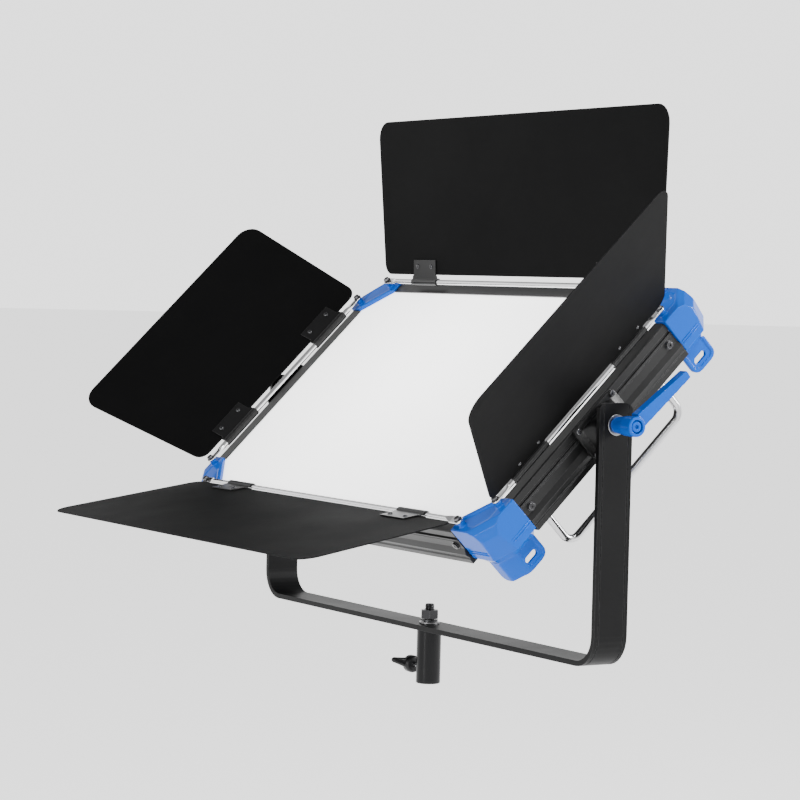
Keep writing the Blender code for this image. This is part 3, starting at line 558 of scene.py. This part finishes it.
def moulded(node):
    """A CAD node's shape as a casting, all its edges rounded, standing for the node."""
    mesh = NODES[node].data.copy()
    mesh.transform(TO_HEAD)
    temporary = bpy.data.objects.new("temporary", mesh)
    bpy.context.scene.collection.objects.link(temporary)
    voxel_remesh(temporary, "one_skin", CASTING_VOXEL)
    soften(temporary, "round", CASTING_ROUNDS)
    bpy.context.view_layer.update()
    evaluated = temporary.evaluated_get(bpy.context.evaluated_depsgraph_get())
    result = bpy.data.meshes.new_from_object(evaluated)
    bpy.data.objects.remove(temporary)
    result.transform(HEAD)
    piece(f"{node}_finish", result, NODES[node]["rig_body"], SLOT_OF[node], stands_for=(node,),
          smooth=180)


def refine_all():
    """Gives every CAD node its material, and a finished piece to each that isn't hand-built and
    isn't board.
    """
    for node, obj in NODES.items():
        obj.data.materials.clear()
        obj.data.materials.append(MATERIALS[SLOT_OF[node]])
        if node in MOULDED:
            moulded(node)
        elif node not in BUILT_BY_HAND and SLOT_OF[node] != "board":
            refined(node)


# ---------------------------------------------------------------- socket, stud and thumb screw
NUT_BORE = 0.0052
WASHER_BORE = 0.0054


def build_socket():
    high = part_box("stand_socket")[1]
    radius, top = high.x, high.z
    bore, bore_end, stud_hole = 0.0080, 0.0440, 0.0053
    bm = bmesh.new()
    rings = [
        (stud_hole, top), (radius - 0.0006, top), (radius, top - 0.0006), (radius, 0.0007),
        (radius - 0.0007, 0.0), (bore + 0.0008, 0.0), (bore, 0.0010), (bore, bore_end - 0.0002),
        (bore - 0.0003, bore_end), (stud_hole, bore_end),
    ]
    polar(bm, rings, 96, closed=True)
    built(bm, "stand_socket_body", "yoke", "socket_anodised", stands_for=("stand_socket",))


def build_stud():
    low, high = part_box("socket_stud")
    pitch, depth, radius = 0.0015, 0.0007, high.x
    rings_per_turn = 8

    def thread(z):
        def at_angle(angle):
            phase = (z / pitch - angle / TAU) % 1.0
            return radius - depth * abs(2 * phase - 1)
        return at_angle

    rings = [(0.0, low.z), (radius - depth, low.z)]
    for i in range(int((high.z - low.z - 0.0012) / (pitch / rings_per_turn))):
        z = low.z + 0.0004 + i * pitch / rings_per_turn
        rings.append((thread(z), z))
    rings += [(radius - depth, high.z - 0.0008), (radius - 0.0015, high.z - 0.0001),
              (0.0, high.z)]
    bm = bmesh.new()
    polar(bm, rings, 40)
    built(bm, "socket_stud_thread", "yoke", "screw_oxide", stands_for=("socket_stud",), smooth=50)


def build_nut():
    """A hexagon nut whose corners are turned to a cone at both ends."""
    low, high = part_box("stud_nut")
    flats = high.x - low.x
    shape = hexagon(flats)
    slope = math.tan(math.radians(28))
    cone_start, face = flats * 0.49, flats * 0.47

    def upper(angle):
        return high.z - (shape(angle) - cone_start) * slope

    def lower(angle):
        return low.z + (shape(angle) - cone_start) * slope

    # a corner of the hexagon is on the node's long side
    spin = turn(90, "Z") if high.x - low.x < high.y - low.y else Matrix()
    bm = bmesh.new()
    rings = [
        (NUT_BORE, high.z - 0.0006), (NUT_BORE + 0.0008, high.z), (face, high.z),
        (cone_start, high.z - 0.0001), (shape, upper), (shape, lower),
        (cone_start, low.z + 0.0001), (face, low.z), (NUT_BORE, low.z),
    ]
    polar(bm, rings, 120, spin @ turn(30, "Z"), closed=True)
    built(bm, "stud_nut_body", "yoke", "screw_oxide", stands_for=("stud_nut",), smooth=24)


def build_washers():
    low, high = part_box("flat_washer")
    bm = bmesh.new()
    washer(bm, WASHER_BORE, high.x, low.z, high.z)
    built(bm, "flat_washer_ring", "yoke", "zinc", stands_for=("flat_washer",))

    # the spring washer is one turn of square wire that rises past its own cut
    low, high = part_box("spring_washer")
    inner, outer, wire = WASHER_BORE, high.x, (high.z - low.z) * 0.80
    rise = (high.z - low.z) - wire
    first_angle, sweep, steps = math.radians(-60), math.radians(352), 60
    sections = []
    for i in range(steps + 1):
        angle = first_angle + sweep * i / steps
        base = low.z + rise * i / steps
        corners = ((inner, 0.0), (outer, 0.0), (outer, wire), (inner, wire))
        sections.append([(r * math.cos(angle), r * math.sin(angle), base + z) for r, z in corners])
    bm = bmesh.new()
    loft(bm, sections)
    built(bm, "spring_washer_ring", "yoke", "screw_oxide", stands_for=("spring_washer",),
          smooth=30)


def build_thumb_screw():
    low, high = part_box("socket_thumb_screw")
    origin = joint_place("thumb_screw_turn")
    place = Matrix(((0, 0, -1, 0), (1, 0, 0, origin.y), (0, -1, 0, origin.z), (0, 0, 0, 1)))
    tip, face = -high.x, -low.x
    shank = 0.0030
    bm = bmesh.new()
    rings = [(0.0, tip), (0.0022, tip), (shank, tip + 0.0006), (shank, face - 0.0100),
             (0.0, face - 0.0100)]
    polar(bm, rings, 32, place)
    built(bm, "thumb_screw_shank", "thumb_screw", "black_plastic", "steel_shank")

    # the wings run from end to end through the hub, whose lean is that of the solid
    vertices = [vertex.co - Vector((0, origin.y, origin.z))
                for vertex in NODES["socket_thumb_screw"].data.vertices]
    ends = [v for v in vertices if v.y < low.y + 0.004]
    lean = math.atan2(sum(v.z for v in ends) / len(ends), -low.y)
    half = (high.y - low.y) / 2 / math.cos(lean) - 0.0006
    middle = face - 0.0052
    steps, tip_scale = 12, 0.55
    sections = []
    for i in range(-steps, steps + 1):
        t = i / steps
        wide = 0.0026 + 0.0042 * (1 - abs(t)) ** 1.3
        thick = 0.0022 + 0.0016 * (1 - abs(t)) ** 0.8
        if abs(i) == steps:
            wide, thick = wide * tip_scale, thick * tip_scale
        ring = superellipse_ring(wide, thick, 2.6, 20)
        sections.append([(half * t, x, middle + y) for x, y in ring])
    bm = bmesh.new()
    loft(bm, sections, place @ Matrix.Rotation(lean, 4, "Z"))
    hub = [
        (0.0, face - 0.0110), (0.0070, face - 0.0110), (0.0084, face - 0.0100),
        (0.0090, face - 0.0080), (0.0090, face - 0.0022), (0.0082, face - 0.0009),
        (0.0052, face), (0.0, face),
    ]
    polar(bm, hub, 48, place)
    grip = built(bm, "thumb_screw_grip", "thumb_screw", "black_plastic",
                 stands_for=("socket_thumb_screw",))
    voxel_remesh(grip, "one_moulding", 0.0004).use_smooth_shade = True
    soften(grip, "soft", 6)


# ---------------------------------------------------------------- rods, screws and rivets
ROD_RADIUS = 0.0030
ROD_TAB = 0.0042  # half width of a rod's flattened end, and from its screw to its tip
ROD_TAB_HALF = 0.00105  # half thickness of the flattened end
ROD_NECK = (0.0205, 0.0095)  # from the screw back to where flattening starts, and its length


def build_rod(side):
    """A round rod with a flattened, rounded tab at each end, and its two screws."""
    node = f"door_rod_{side}"
    along = joint_axis(f"leaf_{side}_hinge")
    place = axes_matrix(along, HEAD_N.cross(along), HEAD_N, joint_place(f"leaf_{side}_hinge"))
    high = extent(node, place.inverted())[1]
    screw = high.x - ROD_TAB
    # each station is its distance along the rod, how flat it is, and its width's scale
    stations = []
    for i in range(11):
        t = i / 10
        stations.append((screw - ROD_NECK[0] + ROD_NECK[1] * t, t * t * (3 - 2 * t), 1.0))
    stations.append((screw, 1.0, 1.0))
    for degrees in (20, 40, 55, 68, 78, 85):
        a = math.radians(degrees)
        stations.append((screw + ROD_TAB * math.sin(a), 1.0, math.cos(a)))
    sections = []
    for x, flat, scale in [(-x, flat, scale) for x, flat, scale in reversed(stations)] + stations:
        wide = (ROD_RADIUS + (ROD_TAB - ROD_RADIUS) * flat) * scale
        thick = ROD_RADIUS + (ROD_TAB_HALF - ROD_RADIUS) * flat
        ring = superellipse_ring(wide, thick, 2.0 + 3.0 * flat, 28)
        sections.append([(x, y, z) for y, z in ring])
    bm = bmesh.new()
    loft(bm, sections, place)
    built(bm, f"{node}_bar", "head", "rod_chrome", stands_for=(node,), smooth=40)

    collar = [(0.0, 0.0), (0.0040, 0.0), (0.0042, 0.0002), (0.0040, 0.0004), (0.0, 0.0004)]
    shank = [(0.0, 0.0), (0.0015, 0.0), (0.0015, -0.0090), (0.0, -0.0090)]
    for end, sign in (("a", -1), ("b", 1)):
        node = f"rod_screw_{side}_{end}"
        seat = place @ at(sign * screw, 0, 0.0013)
        bm = bmesh.new()
        polar(bm, collar, 32, seat)
        socket_head(bm, seat @ at(0, 0, 0.0004), *SCREW_HEADS["rod"], 18)
        polar(bm, shank, 16, seat)
        built(bm, f"{node}_cap", "head", "screw_oxide", stands_for=(node,))


def build_rivets(side):
    """Two rivets through each hinge clip: heads on the clip, tails on the leaf's back."""
    place = leaf_axes(side)
    inverse = place.inverted()
    spread, from_edge = 0.0140, 0.0070
    clip_face, leaf_back = 0.0019, -0.0006
    bm = bmesh.new()
    for end in ("a", "b"):
        low, high = extent(f"door_clip_{side}_{end}", inverse)
        for sign in (-1, 1):
            where = place @ at((low.x + high.x) / 2 + sign * spread, high.y - from_edge, 0)
            dome(bm, where @ at(0, 0, clip_face), 0.0026, 0.0014)
            dome(bm, where @ at(0, 0, leaf_back) @ turn(180, "X"), 0.0021, 0.0015, 0.0004)
    built(bm, f"leaf_{side}_rivets", f"leaf_{side}", "screw_oxide")


def build_rail_screws():
    """A washer and button screw near each end of every rail, on its outer wall."""
    wall_u, wall_v, depth = 0.2955, 0.1640, -0.0015
    end_u, end_v = 0.2330, 0.1065
    seats = [HEAD @ at(sign * wall_u, v, depth) @ turn(90 * sign, "Y")
             for sign in (-1, 1) for v in (-end_v, end_v)]
    seats += [HEAD @ at(u, sign * wall_v, depth) @ turn(-90 * sign, "X")
              for sign in (-1, 1) for u in (-end_u, end_u)]
    bm = bmesh.new()
    for seat in seats:
        polar(bm, [(0.0, 0.0), (0.0045, 0.0), (0.0045, 0.0006), (0.0, 0.0006)], 32, seat)
        socket_head(bm, seat @ at(0, 0, 0.0004), *SCREW_HEADS["rail"])
    built(bm, "rail_screws", "head", "screw_oxide")


# ---------------------------------------------------------------- brackets, handles and back
def build_bracket(side, sign):
    """A pivot bracket: a plate that flows into a round boss, with a screw at each corner."""
    node = f"pivot_bracket_{side}"
    low, high = extent(node, TO_HEAD)
    base = low.x if sign > 0 else -high.x
    top = high.x if sign > 0 else -low.x
    outward = HEAD @ turn(90 * sign, "Y")
    half_n, half_v = (high.z - low.z) / 2, (high.y - low.y) / 2
    count, plate, boss, edge = 64, 0.0032, 0.0150, 0.0008
    sections = []
    for z, inset in ((0.0, 0.0), (plate - edge, 0.0), (plate - 0.0002, 0.0003), (plate, 0.0009)):
        ring = superellipse_ring(half_n - inset, half_v - inset, 9.0, count)
        sections.append([(x, y, base + z) for x, y in ring])
    for i in range(13):
        t = i / 12
        fade = (1 - t) ** 2.4
        wide = boss + (half_n - 0.0050 - boss) * fade
        tall = boss + (half_v - 0.0075 - boss) * fade
        ring = superellipse_ring(wide, tall, 2.0 + 5.0 * fade, count)
        sections.append([(x, y, base + plate + (top - base - plate - edge) * t) for x, y in ring])
    ring = superellipse_ring(boss - edge, boss - edge, 2.0, count)
    sections.append([(x, y, top) for x, y in ring])
    bm = bmesh.new()
    loft(bm, sections, outward)
    built(bm, f"{node}_foot", "head", "bracket_coat", stands_for=(node,), smooth=40)

    bm = bmesh.new()
    for x in (-1, 1):
        for y in (-1, 1):
            place = at(x * (half_n - 0.0042), y * (half_v - 0.0046), base + plate - 0.0004)
            socket_head(bm, outward @ place, *SCREW_HEADS["bracket"])
    built(bm, f"{node}_screws", "head", "screw_oxide")


def build_handle(side):
    """A round bar bent to a U, with a collar on each foot."""
    node = f"rear_handle_{side}"
    low, high = extent(node, TO_HEAD)
    radius, bend = (high.x - low.x) / 2, 0.0120
    u = (low.x + high.x) / 2
    half, rear, foot = high.y - radius, low.z + radius, high.z
    path = [(half, foot + 0.0002), (half, foot - 0.003)]
    path += [(half - bend + bend * math.cos(math.radians(a)),
              rear + bend - bend * math.sin(math.radians(a))) for a in range(0, 91, 6)]
    path += [(-v, n) for v, n in reversed(path)]
    side_way = Vector((1, 0, 0))
    sections = []
    for i, (v, n) in enumerate(path):
        before, after = path[max(i - 1, 0)], path[min(i + 1, len(path) - 1)]
        along = Vector((0, after[0] - before[0], after[1] - before[1])).normalized()
        up = along.cross(side_way)
        centre = Vector((u, v, n))
        sections.append([centre + side_way * radius * math.cos(a) + up * radius * math.sin(a)
                         for a in [TAU * k / 28 for k in range(28)]])
    bm = bmesh.new()
    loft(bm, sections, HEAD)
    built(bm, f"{node}_bar", "head", "handle_chrome", stands_for=(node,), smooth=40)

    inner = radius + 0.0001
    collar = [(0.0, 0.0), (0.0072, 0.0), (0.0076, 0.0004), (0.0076, 0.0022), (0.0070, 0.0030),
              (inner, 0.0030), (inner, 0.0)]
    bm = bmesh.new()
    for sign in (-1, 1):
        polar(bm, collar, 40, behind(Vector((u, sign * half, 0)), foot))
    built(bm, f"{node}_collars", "head", "screw_oxide")


def build_dial(node, body):
    """A fluted knob whose raised line shows which way it points."""
    low, high = extent(node, TO_HEAD)
    radius, height = (high.x - low.x) / 2, high.z - low.z
    where = behind((low + high) / 2, high.z)
    flute = knurl(radius * 0.995, 0.0005, 24)
    bm = bmesh.new()
    polar(bm, [(0.0, 0.0), (radius, 0.0), (radius, 0.0014), (flute, 0.0020),
               (flute, height - 0.0016), (radius * 0.88, height - 0.0003),
               (radius * 0.80, height), (0.0, height - 0.0004)], 96, where)
    sections = []
    for y in (radius * 0.15, radius * 0.78):
        sections.append([(-0.0005, y, height - 0.001), (0.0005, y, height - 0.001),
                         (0.0004, y, height + 0.0003), (-0.0004, y, height + 0.0003)])
    loft(bm, sections, where)
    built(bm, f"{node}_cap", body, "black_plastic", stands_for=(node,), smooth=40)


def build_pivots():
    """The bolt and washer on the left arm, and the washer under the lever."""
    origin = (0, 0, joint_place("head_tilt").z)
    forward, up, outward = Vector((0, 1, 0)), Vector((0, 0, 1)), Vector((1, 0, 0))
    left = axes_matrix(forward, -up, -outward, origin)
    right = axes_matrix(forward, up, outward, origin)
    for node, place in (("pivot_washer", left), ("lever_washer", right)):
        low, high = extent(node, place.inverted())
        bm = bmesh.new()
        washer(bm, 0.0045, high.x, low.z, high.z, place)
        built(bm, f"{node}_ring", "head", "zinc", stands_for=(node,))

    low, high = extent("pivot_bolt", left.inverted())
    head_height, shank = 0.0060, 0.0040
    head = high.z - head_height
    bm = bmesh.new()
    socket_head(bm, left @ at(0, 0, head), high.x, head_height, 0.0060, 0.0035, 32)
    polar(bm, [(0.0, low.z), (shank, low.z), (shank, head + 0.0005), (0.0, head + 0.0005)], 32,
          left)
    built(bm, "pivot_bolt_cap", "head", "screw_oxide", stands_for=("pivot_bolt",))


def build_back_screws():
    """Screws round the back cover, and one at each corner of the control box."""
    low, high = extent("back_cover", TO_HEAD)
    inset = 0.0075
    spots = [(u, sign * (high.y - inset))
             for sign in (-1, 1) for u in (-0.24, -0.12, 0.0, 0.12, 0.24)]
    spots += [(sign * (high.x - inset), v) for sign in (-1, 1) for v in (-0.045, 0.045)]
    bm = bmesh.new()
    rear = behind(Vector(), low.z)
    for u, v in spots:
        socket_head(bm, rear @ at(u, v, 0), *SCREW_HEADS["cover"])
    built(bm, "back_cover_screws", "head", "screw_oxide")

    low, high = extent("control_box", TO_HEAD)
    inset = 0.009
    bm = bmesh.new()
    rear = behind(Vector(), low.z)
    for u in (-1, 1):
        for v in (-1, 1):
            place = at(u * (high.x - inset), v * (high.y - inset), 0)
            socket_head(bm, rear @ place, *SCREW_HEADS["box"])
    built(bm, "control_box_screws", "head", "screw_oxide")


def build_louvres():
    """Raised louvres along both long walls of the control box."""
    low, high = extent("control_box", TO_HEAD)
    wall = high.y - 0.0004
    count, first, pitch = 13, -0.084, 0.014
    margin, length, rise = 0.009, 0.018, 0.0016
    profile = ((-0.0024, 0.0), (-0.0016, 0.7), (0.0, 1.0), (0.0016, 0.7), (0.0024, 0.0))
    bm = bmesh.new()
    for sign in (-1, 1):
        for i in range(count):
            u = first + pitch * i
            sections = []
            for t in (0.0, 0.08, 0.5, 0.92, 1.0):
                reach = rise * math.sin(math.pi * min(max(t, 0.06), 0.94)) ** 0.5
                n = low.z + margin + length * t
                sections.append([(u + x, sign * (wall + y * reach), n) for x, y in profile])
            loft(bm, sections, HEAD)
    built(bm, "control_box_louvres", "head", "cover_coat")


def build_display():
    """A raised frame round the display, with four keys below it."""
    low, high = extent("display_window", TO_HEAD)
    face = behind((low + high) / 2, extent("control_box", TO_HEAD)[0].z)
    half_u, half_v = (high.x - low.x) / 2, (high.y - low.y) / 2
    # how far each ring stands out from the window's edge, and its height
    frame_rings = ((0.0002, 0.0004), (0.0002, 0.0018), (0.0012, 0.0023), (0.0024, 0.0018),
                   (0.0030, 0.0))
    sections = []
    for grow, z in frame_rings:
        ring = superellipse_ring(half_u + grow, half_v + grow, 14.0, 96)
        sections.append([(x, y, z) for x, y in ring])
    bm = bmesh.new()
    loft(bm, sections, face, cap=False)
    built(bm, "display_frame", "head", "black_plastic")

    key = [(0.0, 0.0), (0.0036, 0.0), (0.0036, 0.0008), (0.0031, 0.0014), (0.0022, 0.0015),
           (0.0, 0.0012)]
    first, pitch, below = -0.018, 0.012, 0.0095
    bm = bmesh.new()
    for i in range(4):
        polar(bm, key, 32, face @ at(first + pitch * i, half_v + below, 0))
    built(bm, "display_keys", "head", "black_plastic")


def build_inlet_pins():
    """Three flat pins stand in the mains inlet."""
    low, high = extent("mains_inlet", TO_HEAD)
    face = behind((low + high) / 2, low.z)
    half_x, half_y = 0.0008, 0.0018
    bm = bmesh.new()
    for x, y in ((-0.0055, -0.0015), (0.0, 0.0030), (0.0055, -0.0015)):
        sections = []
        for z, size in ((-0.0019, 1.0), (-0.0004, 1.0), (-0.0001, 0.7)):
            ring = superellipse_ring(half_x * size, half_y * size, 6.0, 16)
            sections.append([(x + a, y + b, z) for a, b in ring])
        loft(bm, sections, face)
    built(bm, "mains_inlet_pins", "head", "zinc", "steel_shank")


def build_corner_beads():
    """Two fine beads on the outer walls of each corner casting."""
    from_start, from_end, taper = 0.002, 0.0195, 0.0004
    half_width, half_height = 0.00075, 0.00070
    for node, su, sv in CORNERS:
        (start_u, start_v), (wall_u, wall_v) = corner_reach(node)
        runs = ((wall_u, start_v + from_start, wall_v - from_end, True),
                (wall_v, start_u + from_start, wall_u - from_end, False))
        bm = bmesh.new()
        for n in (-0.0085, -0.0112):
            for wall, first, last, along_v in runs:
                sections = []
                for where in (first, first + taper, last - taper, last):
                    swell = 0.2 if where in (first, last) else 1.0
                    ring = []
                    for a in range(0, 360, 30):
                        out = half_width * math.cos(math.radians(a)) * swell
                        rise = half_height * math.sin(math.radians(a)) * swell
                        u, v = (wall + out, where) if along_v else (where, wall + out)
                        ring.append((su * u, sv * v, n + rise))
                    sections.append(ring)
                loft(bm, sections, HEAD)
        built(bm, f"{node}_beads", "head", "casting_blue", smooth=60)


def build_corner_floors():
    """The floor of each casting, which closes the corner behind the diffuser."""
    edge_u, edge_v = extent("diffuser", TO_HEAD)[1].xy
    cover_u, cover_v = extent("back_cover", TO_HEAD)[1].xy
    rear, thickness, facet = -0.0188, 0.0016, 0.0037
    into_rail, under_cover = 0.0060, 0.0017
    far_u, far_v = edge_u + 0.0023, edge_v + 0.0021
    near_u, near_v = cover_u - under_cover, cover_v - under_cover
    for node, su, sv in CORNERS:
        (start_u, start_v), _ = corner_reach(node)
        start_u, start_v = start_u - into_rail, start_v - into_rail
        outline = [
            (far_u, start_v), (far_u, far_v - facet), (far_u - facet, far_v), (start_u, far_v),
            (start_u, near_v), (near_u, near_v), (near_u, start_v),
        ]
        bm = bmesh.new()
        loft(bm, [[(su * u, sv * v, n) for u, v in outline] for n in (rear, rear + thickness)],
             HEAD)
        built(bm, f"{node}_floor", "head", "casting_blue", smooth=30)


# ---------------------------------------------------------------- the object
refine_all()
build_socket()
build_stud()
build_nut()
build_washers()
build_thumb_screw()
for side_name in ("top", "right", "bottom", "left"):
    build_rod(side_name)
    build_rivets(side_name)
build_rail_screws()
for side_name, side_sign in (("left", -1), ("right", 1)):
    build_bracket(side_name, side_sign)
    build_handle(side_name)
build_dial("dimmer_dial", "dimmer")
build_dial("colour_dial", "colour")
build_pivots()
build_back_screws()
build_louvres()
build_display()
build_inlet_pins()
build_corner_beads()
build_corner_floors()


# ---------------------------------------------------------------- floor, light and camera
HORIZON = 2.2
FLOOR_GLOW = 0.56  # the floor's own light, as a part of the horizon's
FLOOR_HEIGHT = -0.42
OVERHEAD = (0.20, 0.20, 0.20)
FADE = (0.22, 0.60)  # height in the sky where the horizon's light fades

# place, target, size, power
LIGHTS = {
    "top": ((1.3, 0.3, 2.1), (0, 0, 0.3), (1.2, 0.5), 44),
    "side": ((1.7, 2.1, 1.1), (0.2, 0, 0.3), (0.7, 0.7), 75),
    "strip": ((0.95, -2.85, 0.75), (0, 0, 0.3), (0.28, 1.9), 40),
}

CAMERA_EYE = (2.4710, -1.5168, 0.4132)
CAMERA_TARGET = (-0.0186, -0.0303, 0.2898)
CAMERA_ROLL = 1.357
CAMERA_LENS = 127.69
CAMERA_SENSOR = 36.0


def studio_floor():
    """A wide pale floor below the object, as bright far off as the horizon behind it."""
    bm = bmesh.new()
    polar(bm, [(0.0, FLOOR_HEIGHT), (4.0, FLOOR_HEIGHT), (60.0, FLOOR_HEIGHT)], 64)
    mesh = mesh_from(bm, "floor")
    floor = bpy.data.objects.new("studio_floor", mesh)
    bpy.context.scene.collection.objects.link(floor)
    material, tree, shader = new_material("studio_paper")
    coords = add(tree, "ShaderNodeTexCoord").outputs["Object"]
    grain = noise(tree, coords, 3.0, 4.0, 0.5)
    paper = mix_color(tree, grain, (0.77, 0.77, 0.77), (0.79, 0.79, 0.79))
    tree.links.new(paper, shader.inputs["Base Color"])
    shader.inputs["Roughness"].default_value = 1.0
    shader.inputs["Specular IOR Level"].default_value = 0.0
    shader.inputs["Emission Color"].default_value = (1.0, 1.0, 1.0, 1.0)
    shader.inputs["Emission Strength"].default_value = HORIZON * FLOOR_GLOW
    mesh.materials.append(material)


def area_light(name, place, target, size, power):
    light = bpy.data.lights.new(name, "AREA")
    light.shape = "RECTANGLE"
    light.size, light.size_y = size
    light.energy = power
    obj = bpy.data.objects.new(name, light)
    bpy.context.scene.collection.objects.link(obj)
    direction = Vector(target) - Vector(place)
    obj.matrix_world = at(*place) @ direction.to_track_quat("-Z", "Y").to_matrix().to_4x4()


def studio_light():
    """Light from all round the horizon, dimmer overhead, and three area lights."""
    world = bpy.data.worlds.new("studio")
    bpy.context.scene.world = world
    world.use_nodes = True
    tree = world.node_tree
    background = tree.nodes["Background"]
    background.inputs["Strength"].default_value = HORIZON
    coords = add(tree, "ShaderNodeTexCoord").outputs["Generated"]
    split = add(tree, "ShaderNodeSeparateXYZ")
    tree.links.new(coords, split.inputs["Vector"])
    height = remap(tree, split.outputs["Z"], *FADE, 0.0, 1.0)
    shade = mix_color(tree, height, (1.0, 1.0, 1.0), OVERHEAD)
    tree.links.new(shade, background.inputs["Color"])
    for name, values in LIGHTS.items():
        area_light(name, *values)


def camera():
    eye = Vector(CAMERA_EYE)
    roll = math.radians(CAMERA_ROLL)
    back = (eye - Vector(CAMERA_TARGET)).normalized()
    right = Vector((0, 0, 1)).cross(back).normalized()
    up = back.cross(right)
    tilted_right = right * math.cos(roll) + up * math.sin(roll)
    tilted_up = up * math.cos(roll) - right * math.sin(roll)
    data = bpy.data.cameras.new("camera")
    data.lens = CAMERA_LENS
    data.sensor_width = CAMERA_SENSOR
    obj = bpy.data.objects.new("camera", data)
    bpy.context.scene.collection.objects.link(obj)
    obj.matrix_world = axes_matrix(tilted_right, tilted_up, back, eye)
    bpy.context.scene.camera = obj


studio_floor()
studio_light()
camera()
